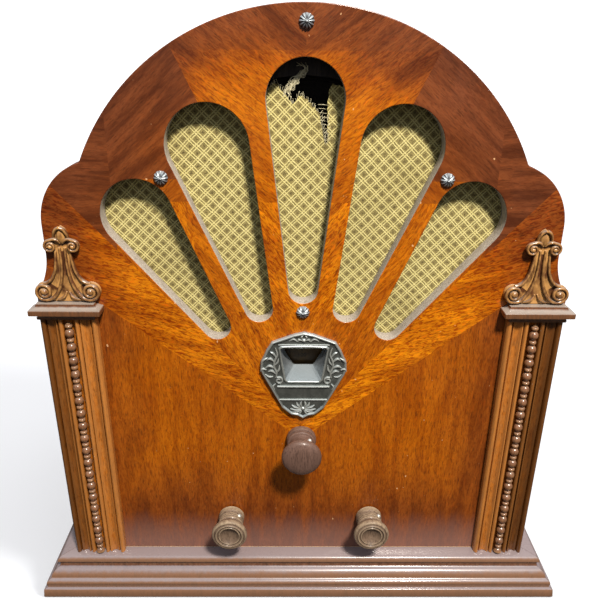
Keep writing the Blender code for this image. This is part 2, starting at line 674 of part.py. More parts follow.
def main():
    for old in list(bpy.data.objects):
        bpy.data.objects.remove(old)
    front_panel()
    cabinet_wrap()
    base()
    columns()
    escutcheon()
    rosette_screws()
    knobs()
    shafts()
    control("volume_control", -LOWER_X, 18, 51)
    control("tone_switch", LOWER_X, 15, 55)
    tuning_bracket()
    condenser_frame()
    condenser_rotor()
    condenser_stator()
    dial()
    dial_lamp()
    chassis()
    deck_parts()
    baffle_and_cloth()
    speaker()


main()
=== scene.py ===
# %% [markdown]
# # A cathedral table radio
# The set is built like the real one: a wooden case with an arched, veneered front, carved and turned
# trim, turned knobs, a cast dial plate, and the works behind an open back. The measured frame comes
# first, so every piece made here is placed from it and rides on one of its bodies.

# %% The frame
import math

import bmesh
import bpy
from mathutils import Matrix, Vector

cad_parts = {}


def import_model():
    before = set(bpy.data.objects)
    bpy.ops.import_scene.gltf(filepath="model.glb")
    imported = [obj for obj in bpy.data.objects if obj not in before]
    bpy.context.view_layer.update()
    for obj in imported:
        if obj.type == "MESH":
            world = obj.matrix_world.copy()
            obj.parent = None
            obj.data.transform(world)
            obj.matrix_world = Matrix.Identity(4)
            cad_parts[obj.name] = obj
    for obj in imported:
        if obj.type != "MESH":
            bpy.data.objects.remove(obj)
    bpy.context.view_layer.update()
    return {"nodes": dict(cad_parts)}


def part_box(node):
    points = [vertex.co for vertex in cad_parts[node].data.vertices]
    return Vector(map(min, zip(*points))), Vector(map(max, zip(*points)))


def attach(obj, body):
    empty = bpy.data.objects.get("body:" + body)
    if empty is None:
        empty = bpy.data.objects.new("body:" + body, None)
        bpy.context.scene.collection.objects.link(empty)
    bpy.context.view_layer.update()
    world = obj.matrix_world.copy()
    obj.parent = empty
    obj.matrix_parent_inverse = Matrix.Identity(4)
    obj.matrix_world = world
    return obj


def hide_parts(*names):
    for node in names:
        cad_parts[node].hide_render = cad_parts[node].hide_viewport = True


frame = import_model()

# %% [markdown]
# ## Working units
# The shapes below are written in millimetres. Depth is counted from the front face of the front panel
# towards the back, because every moulding and knob is measured from that face.

# %% Units and colour
MM = 0.001
FRONT_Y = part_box("front_panel")[0][1]
TOP_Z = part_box("front_panel")[1][2] / MM


def linear(colour):
    """An sRGB hex colour as the linear values that a shader takes."""
    values = [int(colour[k:k + 2], 16) / 255 for k in (1, 3, 5)]
    return (*[v / 12.92 if v <= 0.04045 else ((v + 0.055) / 1.055) ** 2.4 for v in values], 1)


def world(x, y, z):
    return (x * MM, FRONT_Y + y * MM, z * MM)


def middle(node):
    """A node's centre in these units."""
    low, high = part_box(node)
    x, y, z = [(a + b) / 2 for a, b in zip(low, high)]
    return x / MM, (y - FRONT_Y) / MM, z / MM


print("front face at y =", round(FRONT_Y, 4), "m, crown at", round(TOP_Z, 1), "mm")

# %% [markdown]
# ## Shapes
# Nearly all of the radio is one of four shapes: something turned on a lathe, a flat outline cut from
# board, a moulding run along an edge, or a carved stroke. Each helper returns points and faces, so
# several can be put together as one carved piece before they become an object.

# %% Lathe, skin and stroke
def lathe(profile, steps, centre, axis="Y", shape=None):
    """Turns (radius, along) about an axis. shape(angle, radius, along) may move each point."""
    points, rows = [], []
    for radius, along in profile:
        count = 1 if radius == 0 else steps
        rows.append([len(points) + k for k in range(count)])
        for k in range(count):
            angle = 2 * math.pi * k / steps
            r, h = shape(angle, radius, along) if shape and radius else (radius, along)
            u, v = r * math.cos(angle), r * math.sin(angle)
            if axis == "Y":
                points.append((centre[0] + u, h, centre[1] + v))
            else:
                points.append((centre[0] + u, centre[1] + v, h))
    if profile[0][0] and profile[-1][0]:
        rows.append(rows[0])
    faces = []
    for low, high in zip(rows, rows[1:]):
        for k in range(steps):
            corners = [low[k % len(low)], low[(k + 1) % len(low)]]
            corners += [high[(k + 1) % len(high)], high[k % len(high)]]
            face = tuple(dict.fromkeys(corners))
            if len(face) > 2:
                faces.append(face)
    return points, faces


def skin(rings, closed=False):
    """Skins rings of equally many points, and caps the ends unless the last ring meets the first."""
    n, count = len(rings[0]), len(rings)
    points = [point for ring in rings for point in ring]
    faces = []
    for k in range(count if closed else count - 1):
        a, b = k * n, ((k + 1) % count) * n
        faces += [(a + i, a + (i + 1) % n, b + (i + 1) % n, b + i) for i in range(n)]
    if not closed:
        faces += [tuple(range(n)), tuple(range((count - 1) * n, count * n))]
    return points, faces


def block(low, high, ease=0.0):
    """A box with its long edges eased by a small chamfer."""
    (x0, y0, z0), (x1, y1, z1) = low, high
    e = ease
    rings = []
    for inset, y in ((e, y0), (0, y0 + e), (0, y1 - e), (e, y1)) if e else ((0, y0), (0, y1)):
        a, b, c, d = x0 + inset, x1 - inset, z0 + inset, z1 - inset
        ring = [(a + e, y, c), (b - e, y, c), (b, y, c + e), (b, y, d - e)]
        ring += [(b - e, y, d), (a + e, y, d), (a, y, d - e), (a, y, c + e)]
        rings.append(ring if e else [(a, y, c), (b, y, c), (b, y, d), (a, y, d)])
    return skin(rings)


def stroke(path, radii, depth=1.0, steps=10):
    """A carved rib: a round stroke along points of (x, y, z), flattened towards the panel."""
    rings = []
    for k, (x, y, z) in enumerate(path):
        x0, _, z0 = path[max(k - 1, 0)]
        x1, _, z1 = path[min(k + 1, len(path) - 1)]
        length = math.hypot(x1 - x0, z1 - z0) or 1
        nx, nz = -(z1 - z0) / length, (x1 - x0) / length
        r = radii[k] if isinstance(radii, (list, tuple)) else radii
        ring = []
        for s in range(steps):
            angle = 2 * math.pi * s / steps
            c, d = r * math.cos(angle), r * math.sin(angle) * depth
            ring.append((x + nx * c, y + d, z + nz * c))
        rings.append(ring)
    return skin(rings)


def smooth_path(points, steps=6):
    """A Catmull-Rom curve through a few points, each a tuple of numbers."""
    made = []
    ends = [points[0]] + list(points) + [points[-1]]
    for a, b, c, d in zip(ends, ends[1:], ends[2:], ends[3:]):
        for k in range(steps):
            t = k / steps
            made.append(tuple(
                0.5 * (2 * q + (r - p) * t + (2 * p - 5 * q + 4 * r - s) * t * t
                       + (3 * q - p - 3 * r + s) * t ** 3)
                for p, q, r, s in zip(a, b, c, d)))
    return made + [points[-1]]


def together(*shapes):
    """Several shapes as one."""
    points, faces = [], []
    for some_points, some_faces in shapes:
        start = len(points)
        points += list(some_points)
        faces += [tuple(start + i for i in face) for face in some_faces]
    return points, faces


def mirrored(shape, about=0.0):
    return [(2 * about - x, y, z) for x, y, z in shape[0]], shape[1]


SIDES = (("right", lambda shape: shape), ("left", mirrored))


# %% [markdown]
# ## From shape to piece
# A piece is one object. It gets its finish, rides on a body of the frame, and hides the measured
# solid it stands for. Round work is smooth-shaded, and edges sharper than a chosen angle stay crisp.

# %% Making and placing a piece
def mesh_of(name, shape):
    """A mesh of a shape, with every face turned outwards."""
    points, faces = shape
    mesh = bpy.data.meshes.new(name)
    mesh.from_pydata([world(*point) for point in points], [], faces)
    shell = bmesh.new()
    shell.from_mesh(mesh)
    bmesh.ops.recalc_face_normals(shell, faces=shell.faces)
    shell.to_mesh(mesh)
    shell.free()
    return mesh


def settle(made, body, replaces, slot):
    """Seats an object on its body and hides the measured parts it replaces."""
    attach(made, body)
    if replaces:
        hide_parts(*replaces)
    return made


def piece(name, shape, finish, body="cabinet", replaces=(), slot=None, crease=35):
    """An object of a shape or a ready mesh. Edges sharper than crease, in degrees, stay crisp."""
    mesh = mesh_of(name, shape) if isinstance(shape, tuple) else shape
    for one in finish if isinstance(finish, (list, tuple)) else [finish]:
        mesh.materials.append(one)
    mesh.shade_smooth()
    mesh.set_sharp_from_angle(angle=math.radians(crease))
    made = bpy.data.objects.new(name, mesh)
    bpy.context.scene.collection.objects.link(made)
    return settle(made, body, replaces, slot)


EASE = 0.5


def board(name, outlines, front, back):
    """A mesh cut from board: closed outlines of (x, z), the inner ones being holes, with eased edges."""
    curve = bpy.data.curves.new(name, "CURVE")
    curve.dimensions = "2D"
    curve.fill_mode = "BOTH"
    for outline in outlines:
        spline = curve.splines.new("POLY")
        spline.points.add(len(outline) - 1)
        for point, (x, z) in zip(spline.points, outline):
            point.co = (x * MM, z * MM, 0, 1)
        spline.use_cyclic_u = True
    curve.extrude = ((back - front) / 2 - EASE) * MM
    curve.bevel_depth = EASE * MM
    curve.offset = -EASE * MM
    curve.bevel_resolution = 2
    guide = bpy.data.objects.new(name + "_guide", curve)
    bpy.context.scene.collection.objects.link(guide)
    graph = bpy.context.evaluated_depsgraph_get()
    mesh = bpy.data.meshes.new_from_object(guide.evaluated_get(graph))
    half_way = FRONT_Y + (front + back) / 2 * MM
    mesh.transform(Matrix(((1, 0, 0, 0), (0, 0, -1, half_way), (0, 1, 0, 0), (0, 0, 0, 1))))
    bpy.data.objects.remove(guide)
    return mesh


# %% [markdown]
# ## A node at a time
# Every finish is drawn by nodes. This one function adds a node, makes its settings and fills its sockets, and
# hands back its first open output, ready to feed the next node. So a finish reads from top to bottom.

# %% Adding a node
EASED = {"interpolation_type": "SMOOTHSTEP"}
COLOURS = {"data_type": "RGBA"}
PLUS, MINUS, TIMES = {"operation": "ADD"}, {"operation": "SUBTRACT"}, {"operation": "MULTIPLY"}
SIZE, MOST, LEAST, PART = [{"operation": name} for name in ("ABSOLUTE", "MAXIMUM", "MINIMUM", "FRACT")]


def add(tree, kind, *inputs, out=None, stops=(), **named):
    """Adds a node. Inputs fill its open sockets in order, and a name is one of its settings or else a socket.
    Each is a value, a hex colour or another node's output, and None leaves a socket alone. stops are a colour
    ramp's (position, hex colour), and out names the output to hand back."""
    node = tree.nodes.new("ShaderNode" + kind)
    for key in [key for key in named if hasattr(node, key)]:
        setattr(node, key, named.pop(key))
    sockets = [socket for socket in node.inputs if socket.enabled]
    for socket, value in [*zip(sockets, inputs), *[(node.inputs[key], value) for key, value in named.items()]]:
        if isinstance(value, bpy.types.NodeSocket):
            tree.links.new(value, socket)
        elif value is not None:
            socket.default_value = linear(value) if isinstance(value, str) else value
    if stops:
        elements = node.color_ramp.elements
        while len(elements) < len(stops):
            elements.new(0.5)
        for element, (position, colour) in zip(elements, stops):
            element.position = position
            element.color = linear(colour)
    return node.outputs[out] if out else next(output for output in node.outputs if output.enabled)


# %% Starting and ending a finish
def finish(name, settings):
    """A material and its tree, with the Principled shader's fixed values set on its own sockets."""
    made = bpy.data.materials.new(name)
    made.use_nodes = True
    shader = made.node_tree.nodes["Principled BSDF"]
    for key, value in settings.items():
        shader.inputs[key].default_value = linear(value) if isinstance(value, str) else value
    return made, made.node_tree


def dress(made, colour=None, roughness=None, height=None, strength=0.25, depth=0.2):
    """Joins a finish's patterns to its shader: the colour, the roughness and a relief of this depth in mm."""
    tree, normal = made.node_tree, None
    if height is not None:
        normal = add(tree, "Bump", Strength=strength, Distance=depth * MM, Height=height)
    for socket, source in (("Base Color", colour), ("Roughness", roughness), ("Normal", normal)):
        if source is not None:
            tree.links.new(source, tree.nodes["Principled BSDF"].inputs[socket])
    return made


def lay(tree, under, over, where, share=None, blend="MIX"):
    """Lays one colour over another where a pattern says, at a share of the pattern's strength."""
    if share is not None:
        where = add(tree, "Math", where, share, **TIMES)
    return add(tree, "Mix", where, under, over, blend_type=blend, **COLOURS)


# %% [markdown]
# ## Camera and light
# The camera stands a little above the crown of the arch and looks down at 23 degrees, from quite near,
# which is what makes the foot of the set taper away.
#
# One softbox, high in front and a little to the right, gives the shadows under the knobs and inside the
# openings. Its size sets how soft they are. A wide, weak surround fills them, brighter from above than from
# below, and a fill from behind reaches into the open back.
#
# The paper sweep is lit apart. The softbox and the fill don't reach it, and it has two lights of its own: one
# from the right, which lays the set's soft shadow on it, and one from the front that casts none. It glows a
# little too, as back-lit acrylic does. It sends no light back to the radio, because light bounced up from
# white paper would grey the lacquer and flatten the shadows. The plain Standard view keeps stained wood as
# saturated as it is, where a filmic one would wash it out.

# %% Camera
PITCH, YAW, ROLL = math.radians(22.9), math.radians(0.792), math.radians(0.645)
LENS_MM, SENSOR_MM = 38.4, 36.0
STAND = (-7.96, -419.4, 436.6)

camera_data = bpy.data.cameras.new("studio_camera")
camera_data.sensor_width = SENSOR_MM
camera_data.lens = LENS_MM
camera = bpy.data.objects.new("studio_camera", camera_data)
bpy.context.scene.collection.objects.link(camera)
forward = Vector((math.sin(YAW) * math.cos(PITCH), math.cos(YAW) * math.cos(PITCH), -math.sin(PITCH)))
level = Vector((math.cos(YAW), -math.sin(YAW), 0))
upward = level.cross(forward)
right = math.cos(ROLL) * level + math.sin(ROLL) * upward
up = math.cos(ROLL) * upward - math.sin(ROLL) * level
turn = Matrix((right, up, -forward)).transposed().to_4x4()
camera.matrix_world = Matrix.Translation(world(*STAND)) @ turn
bpy.context.scene.camera = camera
print("camera at", [round(v, 3) for v in camera.location])

# %% Softbox and surround
KEY_HEIGHT, KEY_SIDE, KEY_FAR, KEY_SIZE, KEY_WATTS = math.radians(50), math.radians(18), 1.6, 0.17, 52
SURROUND_STRENGTH = 1.36
bpy.context.scene.view_settings.view_transform = "Standard"


def lamp(name, kind, direction, strength, colour, distance=1.0):
    """A light that shines from this direction at the middle of the set."""
    data = bpy.data.lights.new(name, kind)
    data.energy = strength
    data.color = linear(colour)[:3]
    made = bpy.data.objects.new(name, data)
    bpy.context.scene.collection.objects.link(made)
    made.location = Vector((0, 0, TOP_Z / 2 * MM)) + direction.normalized() * distance
    made.rotation_euler = direction.to_track_quat("Z", "Y").to_euler()
    return made


key_way = Vector((math.sin(KEY_SIDE) * math.cos(KEY_HEIGHT), -math.cos(KEY_SIDE) * math.cos(KEY_HEIGHT),
                  math.sin(KEY_HEIGHT)))
key = lamp("key_softbox", "AREA", key_way, KEY_WATTS, "#fff4e8", KEY_FAR)
key.data.size = KEY_SIZE

surround = bpy.data.worlds.new("studio_surround")
surround.use_nodes = True
sky = surround.node_tree
upness = add(sky, "SeparateXYZ", add(sky, "TexCoord", out="Generated"), out="Z")
sky_tone = add(sky, "ValToRGB", add(sky, "MapRange", upness, -1.0, 1.0),
               stops=((0.40, "#3b3735"), (0.60, "#8c8e95"), (0.86, "#9a9da5"), (0.97, "#fdfdff")))
sky.links.new(sky_tone, sky.nodes["Background"].inputs["Color"])
sky.nodes["Background"].inputs["Strength"].default_value = SURROUND_STRENGTH
bpy.context.scene.world = surround

# %% Paper sweep
SWEEP_R, SWEEP_BEND, SWEEP_UNDER, SWEEP_RISE = 2600.0, 900.0, 0.2, 500
paper, paper_tree = finish("matt_pale_studio_paper",
                           {"Roughness": 0.9, "Emission Color": "#ffffff", "Emission Strength": 0.27})
paper_cloud = add(paper_tree, "TexNoise", add(paper_tree, "TexCoord", out="Object"), Scale=3.0, Detail=2.0)
dress(paper, add(paper_tree, "ValToRGB", paper_cloud, stops=((0.3, "#e0e0e0"), (0.7, "#e3e3e3"))))
sweep_profile = [(0, -SWEEP_UNDER), (SWEEP_R - SWEEP_BEND, -SWEEP_UNDER)]
for k in range(1, 10):
    a = math.radians(10 * k)
    sweep_profile.append((SWEEP_R - SWEEP_BEND + SWEEP_BEND * math.sin(a),
                          SWEEP_BEND * (1 - math.cos(a)) - SWEEP_UNDER))
sweep_profile.append((SWEEP_R, SWEEP_BEND + SWEEP_RISE))
points, faces = lathe(sweep_profile, 64, (0, middle("base_board")[1]), "Z")
sweep_mesh = bpy.data.meshes.new("paper_sweep")
sweep_mesh.from_pydata([world(*point) for point in points], [], faces)
sweep_mesh.materials.append(paper)
sweep_mesh.shade_smooth()
sweep = bpy.data.objects.new("paper_sweep", sweep_mesh)
backdrop = bpy.data.collections.new("backdrop")
bpy.context.scene.collection.children.link(backdrop)
backdrop.objects.link(sweep)
sweep.visible_diffuse = False
sweep.visible_glossy = False
sweep.visible_shadow = False
print("sweep:", round(2 * SWEEP_R * MM, 1), "m across")

# %% Which light reaches what
all_but_paper = bpy.data.collections.new("all_but_paper")
all_but_paper.objects.link(sweep)
all_but_paper.collection_objects[0].light_linking.link_state = "EXCLUDE"
key.light_linking.receiver_collection = all_but_paper
shadow_light = lamp("paper_shadow_light", "SUN", Vector((1.0, -0.35, 0.8)), 2.05, "#ffffff")
shadow_light.data.angle = math.radians(16)
shadow_light.light_linking.receiver_collection = backdrop
paper_light = lamp("paper_light", "SUN", Vector((0.1, -1.0, 0.25)), 2.2, "#ffffff")
paper_light.light_linking.receiver_collection = backdrop
paper_light.light_linking.blocker_collection = backdrop
works_fill = lamp("works_fill", "AREA", Vector((0.3, 1.0, 0.22)), 16, "#f4f6ff", 1.3)
works_fill.data.size = 0.6
works_fill.light_linking.receiver_collection = all_but_paper
print("key light", round(math.degrees(KEY_HEIGHT)), "degrees up,", round(math.degrees(KEY_SIDE)), "to the right")

# %% [markdown]
# ## Lacquered veneer
# The case is faced with mahogany and walnut veneer, stained, then sprayed with a clear lacquer that is
# shaded darker towards the edges ("toned"). To the eye that gives three scales: fine dark pores along the
# grain, soft bands of lighter and darker figure a centimetre or so wide, and the slow darkening of the
# toner. Each leaf of veneer carries its own grain direction as a face attribute, and one shader
# serves them all. Real pores are about 0.3 mm wide; they are drawn near 0.8 mm, as fine as can show.

# %% Patterns on wood
def pattern(tree, across, along, detail=3.0, rough=0.5, twist=0.0, turned=False):
    """An uneven pattern whose patches are about this many mm across and along. It stands upright, or turned
    to each face's own grain."""
    place = add(tree, "TexCoord", out="Object")
    if turned:
        grain = add(tree, "Attribute", attribute_name="grain", out="Fac")
        place = add(tree, "VectorRotate", place, rotation_type="Y_AXIS", Angle=grain)
    scaled = add(tree, "Mapping", place, Scale=(1000 / across, 1000 / across, 1000 / along))
    return add(tree, "TexNoise", scaled, Scale=1, Detail=detail, Roughness=rough, Distortion=twist)


def swing(tree, source, reach):
    """A pattern made to swing this far in all about nothing, to roughen the edge of another."""
    return add(tree, "Math", add(tree, "Math", source, 0.5, **MINUS), reach, **TIMES)


def painted_sheen_mask(tree, low=0.42, high=0.9):
    """How far the surface faces up, where a pale painted sheen stands in for the reflection of the light from above,
    with a broken edge.
    """
    up = add(tree, "SeparateXYZ", add(tree, "NewGeometry", out="Normal"), out="Z")
    broken = add(tree, "Math", up, swing(tree, pattern(tree, 5, 14, 4, 0.6), 0.4), **PLUS)
    return add(tree, "MapRange", broken, low, high, **EASED)


def ridges(tree, low, high):
    """How far the surface stands out, where it is rubbed and also given a painted highlight, and how deep in a hollow
    it is, where painted shade goes.
    """
    point = add(tree, "NewGeometry", out="Pointiness")
    raised = add(tree, "Math", point, swing(tree, pattern(tree, 2.5, 4, 3, 0.6), 0.07), **PLUS)
    return (add(tree, "MapRange", raised, low, high, **EASED),
            add(tree, "MapRange", point, 0.40, 0.485, 0.85, 0.0, **EASED))


def lacquer_haze(tree, low, high):
    """Roughness that drifts between hazy and clear every few centimetres, as old lacquer's does."""
    return add(tree, "MapRange", pattern(tree, 30, 45, 4, 0.6), 0.3, 0.75, low, high, **EASED)


# %% Stained wood
def wood(name, light, dark, pore, roughness, coat, figure=0.35, wear_and_highlight=None, ridge_range=(0.50, 0.62), top_sheen=None, outer=None):
    """Stained, lacquered wood. Three optional (colour, amount) arguments give, in order: what is rubbed through on
    edges and high spots, also a painted highlight there, with painted shade in the hollows; a pale painted sheen on
    upward faces; and the heavier toner towards the sides of the set."""
    made, tree = finish(name, {"Coat Weight": coat, "Coat Roughness": 0.16, "Specular IOR Level": 0.3})
    bands = pattern(tree, 7, 60, 4, 0.6, 0.4)
    colour = add(tree, "ValToRGB", bands, stops=((0.28, dark), (0.5, light), (0.74, dark)))
    flecks = pattern(tree, 1.6, 9, 3, 0.65, 0.8)
    colour = lay(tree, colour, light, add(tree, "MapRange", flecks, 0.42, 0.66, **EASED), figure, "SCREEN")
    pores = pattern(tree, 0.8, 7, 2, 0.6)
    colour = lay(tree, colour, pore, add(tree, "MapRange", pores, 0.36, 0.47, 1.0, 0.0, **EASED), 0.62)
    # Ridges get the rubbed-through colour, which also serves as a painted highlight; hollows get painted shade in the
    # pore colour.
    if wear_and_highlight:
        raised, hollow = ridges(tree, *ridge_range)
        colour = lay(tree, lay(tree, colour, wear_and_highlight[0], raised, wear_and_highlight[1]), pore, hollow)
    if outer:
        x = add(tree, "SeparateXYZ", add(tree, "TexCoord", out="Object"), out="X")
        aside = add(tree, "Math", add(tree, "Math", x, 0.003, **PLUS), **SIZE)
        colour = lay(tree, colour, outer[0], add(tree, "MapRange", aside, 0.163, 0.182, 0.0, outer[1], **EASED))
    # Painted sheen: upward faces are laid over with a pale colour for the reflection of the light from above.
    if top_sheen:
        colour = lay(tree, colour, top_sheen[0], painted_sheen_mask(tree), top_sheen[1])
    return dress(made, colour, lacquer_haze(tree, roughness - 0.06, roughness + 0.1), pores)


# %% Toned veneer of the front
def toner(tree):
    """How much dark toner lies at a point: 0 in the middle of the front, 1 at the arch, sides and foot. Its
    numbers are metres on the front, from the set's middle and from the table."""
    place = add(tree, "TexCoord", out="Object")
    axes = add(tree, "SeparateXYZ", place).node.outputs
    x = add(tree, "Math", add(tree, "Math", axes["X"], 0.006, **PLUS), **SIZE)
    z = axes["Z"]
    rise = add(tree, "Math", z, 0.290, **MINUS)
    squares = [add(tree, "Math", side, side, **TIMES) for side in (x, rise)]
    radius = add(tree, "Math", add(tree, "Math", *squares, **PLUS), operation="SQRT")
    cloud = swing(tree, add(tree, "TexNoise", place, Scale=22, Detail=3, Roughness=0.6), 0.036)
    cloudy = [add(tree, "Math", source, cloud, **PLUS) for source in (radius, x, z)]
    arch = add(tree, "Math", add(tree, "MapRange", cloudy[0], 0.112, 0.158, **EASED),
               add(tree, "MapRange", z, 0.29, 0.35, **EASED), **TIMES)
    sides = add(tree, "Math", add(tree, "MapRange", cloudy[1], 0.100, 0.160, **EASED),
                add(tree, "MapRange", z, 0.20, 0.33, 0.55, 1.0, **EASED), **TIMES)
    foot = add(tree, "MapRange", cloudy[2], 0.035, 0.140, 0.8, 0.0, **EASED)
    return add(tree, "Math", add(tree, "Math", arch, sides, **MOST), foot, **MOST), z


def toned_veneer(name):
    """Each face's grain and tint pick the leaf. The toner pulls a leaf's tint down towards dark red-brown."""
    made, tree = finish(name, {"Coat Weight": 0.2, "Coat Roughness": 0.14, "Specular IOR Level": 0.25})
    tint = add(tree, "Attribute", attribute_name="tint", out="Fac")
    shade, z = toner(tree)
    kept_tint = add(tree, "Math", 1.0, add(tree, "Math", shade, 0.72, **TIMES), **MINUS)
    tone = add(tree, "Math", tint, kept_tint, **TIMES)
    low, high = [add(tree, "ValToRGB", tone, stops=tuple(zip((0.0, 0.3, 0.5, 1.0), tones))) for tones in (
        ("#3c1d10", "#602e0d", "#8a4505", "#9c5405"), ("#643721", "#824414", "#a45a09", "#d0820c"))]
    bands = pattern(tree, 9, 75, 5, 0.62, 0.5, turned=True)
    colour = lay(tree, low, high, add(tree, "MapRange", bands, 0.32, 0.66, **EASED))
    strong = add(tree, "MapRange", tint, 0.30, 0.90, 0.30, 0.85, **EASED)
    flecks = pattern(tree, 1.5, 6, 3, 0.7, 1.0, turned=True)
    flecked = add(tree, "MapRange", flecks, 0.38, 0.56, 1.0, 0.0, **EASED)
    colour = lay(tree, colour, "#b0702c", flecked, strong, "MULTIPLY")
    gleams = add(tree, "MapRange", pattern(tree, 1.5, 6, 3, 0.7, 0.6, turned=True), 0.52, 0.70, **EASED)
    colour = lay(tree, colour, "#f2a63a", gleams, add(tree, "Math", strong, 0.45, **TIMES), "OVERLAY")
    pores = pattern(tree, 0.8, 8, 2, 0.6, turned=True)
    colour = lay(tree, colour, "#3a1c0a", add(tree, "MapRange", pores, 0.34, 0.46, 1.0, 0.0, **EASED), 0.55)
    # Painted reflection: a grey-mauve sheen over the foot of the front, fading out upward.
    height = add(tree, "Math", z, add(tree, "Math", bands, 0.02, **TIMES), **PLUS)
    colour = lay(tree, colour, "#8d6f66", add(tree, "MapRange", height, 0.050, 0.082, 0.42, 0.0, **EASED))
    nicks = pattern(tree, 3.2, 4.2, 1, 0.4, 0.2)
    colour = lay(tree, colour, "#c9a074", add(tree, "MapRange", nicks, 0.785, 0.81, 0.0, 0.8, **EASED))
    return dress(made, colour, lacquer_haze(tree, 0.26, 0.42), pores)


veneer = toned_veneer("toned_lacquered_mahogany_veneer")
print("finish:", veneer.name)

# %% [markdown]
# ## Front panel
# The front is half-inch plywood. Its outline is one big arch that drops onto two round shoulders, with a
# hollow curve down to the straight sides. The five sound openings are teardrops: two circles joined by
# their outer tangents. It is drawn as a flat curve with holes, which Blender fills, thickens and eases
# along every edge at once.

# %% Outline of the arch
HALF_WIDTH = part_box("front_panel")[1][0] / MM
FOOT_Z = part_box("base_moulding_front")[1][2] / MM + 0.03
PANEL_BACK = (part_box("front_panel")[1][1] - FRONT_Y) / MM
ARCH_Z = 291.5
ARCH_R = TOP_Z - ARCH_Z
LOBE = (136.5, 313.5, 41.0, 43.4)
FLARE = (262.0, 293.0)


def arc(cx, cz, rx, rz, start, end, steps):
    """Points along an ellipse between two angles in degrees."""
    turn = [math.radians(start + (end - start) * k / steps) for k in range(steps + 1)]
    return [(cx + rx * math.cos(a), cz + rz * math.sin(a)) for a in turn]


def arch_outline(inset=0.0, foot=FOOT_Z):
    lobe_x, lobe_z, lobe_a, lobe_b = LOBE
    shoulder = lobe_x + lobe_a
    right = [(HALF_WIDTH - inset, foot), (HALF_WIDTH - inset, FLARE[0])]
    for k in range(1, 13):
        t = k / 12
        flare = (HALF_WIDTH - shoulder) * (1 - t) ** 2
        right.append((shoulder + flare - inset, FLARE[0] + (FLARE[1] - FLARE[0]) * t))
    radius = ARCH_R - inset
    lobe = arc(lobe_x, lobe_z, lobe_a - inset, lobe_b - inset, 0, 110, 40)
    right += [(x, z) for x, z in lobe if math.hypot(x, z - ARCH_Z) > radius]
    start = math.degrees(math.atan2(right[-1][1] - ARCH_Z, right[-1][0])) + 0.6
    right += arc(0, ARCH_Z, radius, radius, start, 90, 48)
    return right + [(-x, z) for x, z in reversed(right[:-1])]


def teardrop(big_x, big_z, big_r, small_x, small_z, small_r, grow=0.0):
    dx, dz = small_x - big_x, small_z - big_z
    axis = math.degrees(math.atan2(dz, dx))
    swing = math.degrees(math.acos((big_r - small_r) / math.hypot(dx, dz)))
    big = arc(big_x, big_z, big_r + grow, big_r + grow, axis + swing, axis + 360 - swing, 40)
    small = arc(small_x, small_z, small_r + grow, small_r + grow, axis - swing, axis + swing, 20)
    return big + small


PETALS = [(0.0, 396.0, 25.3, 0.0, 267.0, 10.5)]
for side in (1, -1):
    PETALS.append((side * 63.5, 366.5, 27.5, side * 31.5, 252.0, 10.0))
    PETALS.append((side * 112.5, 320.5, 24.5, side * 62.0, 238.0, 10.0))
print("arch radius", round(ARCH_R, 1), "mm,", len(PETALS), "openings")

# %% [markdown]
# ## Leaves of veneer
# The face is laid up from matched leaves: a plain upright leaf below, a bright figured band along each
# side of a V, a fan of leaves between the openings, and dark leaves on the arch and shoulders. The board
# is sliced along each seam, and every face learns the grain direction and tint of its leaf. The walls of
# the openings and the outer edge show bare wood instead.

# %% Cutting the leaves
def seam(x0, z0, x1, z1):
    """A cutting plane through a seam, square to the face."""
    return Vector(world(x0, 0, z0)), Vector((-(z1 - z0), 0, x1 - x0)).normalized()


def beyond(x, z, x0, z0, x1, z1):
    """True for a point on the upper side of a seam that rises to the right."""
    return (z - z0) * (x1 - x0) - (x - x0) * (z1 - z0) > 0


OUTER_V = (10.0, 149.5, 145.0, 257.0)
INNER_V = (30.0, 187.0, 66.0, 227.0)
CROWN = (68.0, 394.0, 80.0, 419.0)
SHOULDER = (152.0, 358.0, 126.0, 336.0)
SIDE_BAND, ARCH_BAND = 160, 152


def leaf(x, z):
    """(grain angle in degrees from upright, tint from 0, dark, to 1, light) of the leaf at a point."""
    side, a = (1 if x > 0 else -1), abs(x)
    if not beyond(a, z, *OUTER_V):
        return 0, 0.5
    if not beyond(a, z, *INNER_V):
        return side * -74, 1.0 if side > 0 else 0.85
    if a > 128 and z > 296:
        return 90, 0.22
    crown_x = CROWN[0] + (z - CROWN[1]) * (CROWN[2] - CROWN[0]) / (CROWN[3] - CROWN[1])
    if z > 330 and a > max(crown_x, 62):
        return side * 48, 0.18 if z > 345 or a > 118 else 0.42
    if z > 330:
        return side * -52, 0.62 if z < 425 else 0.5
    if z > 250 and a < 75:
        return side * -38, 0.86 if a < 45 else 0.62
    return side * -25, 0.72 if side < 0 else 0.62


panel_mesh = board("front_panel", [arch_outline()] + [teardrop(*p) for p in PETALS]
                   + [[(-17, 192.5), (19, 192.5), (21, 225.5), (-19, 225.5)]]
                   + [arc(x, z, 5, 5, 0, 345, 23) for x, z in ((0, 143), (-56.5, 66), (56.5, 66))],
                   0, PANEL_BACK)
shell = bmesh.new()
shell.from_mesh(panel_mesh)
seams = [seam(0, 0, 0, 100)]
cuts = [OUTER_V, INNER_V, CROWN, SHOULDER]
for way, place in (("x", 62), ("z", 330), ("x", 128), ("z", 296), ("x", 75), ("z", 250), ("z", 425), ("z", 345),
                   ("x", 118), ("x", 45)):
    cuts.append((place, 0, place, 1) if way == "x" else (0, place, 1, place))
for x0, z0, x1, z1 in cuts:
    seams += [seam(x0, z0, x1, z1), seam(-x0, z0, -x1, z1)]
for point, normal in seams:
    bmesh.ops.bisect_plane(shell, geom=shell.verts[:] + shell.edges[:] + shell.faces[:],
                           dist=1e-7, plane_co=point, plane_no=normal)
grain_layer = shell.faces.layers.float.new("grain")
tint_layer = shell.faces.layers.float.new("tint")
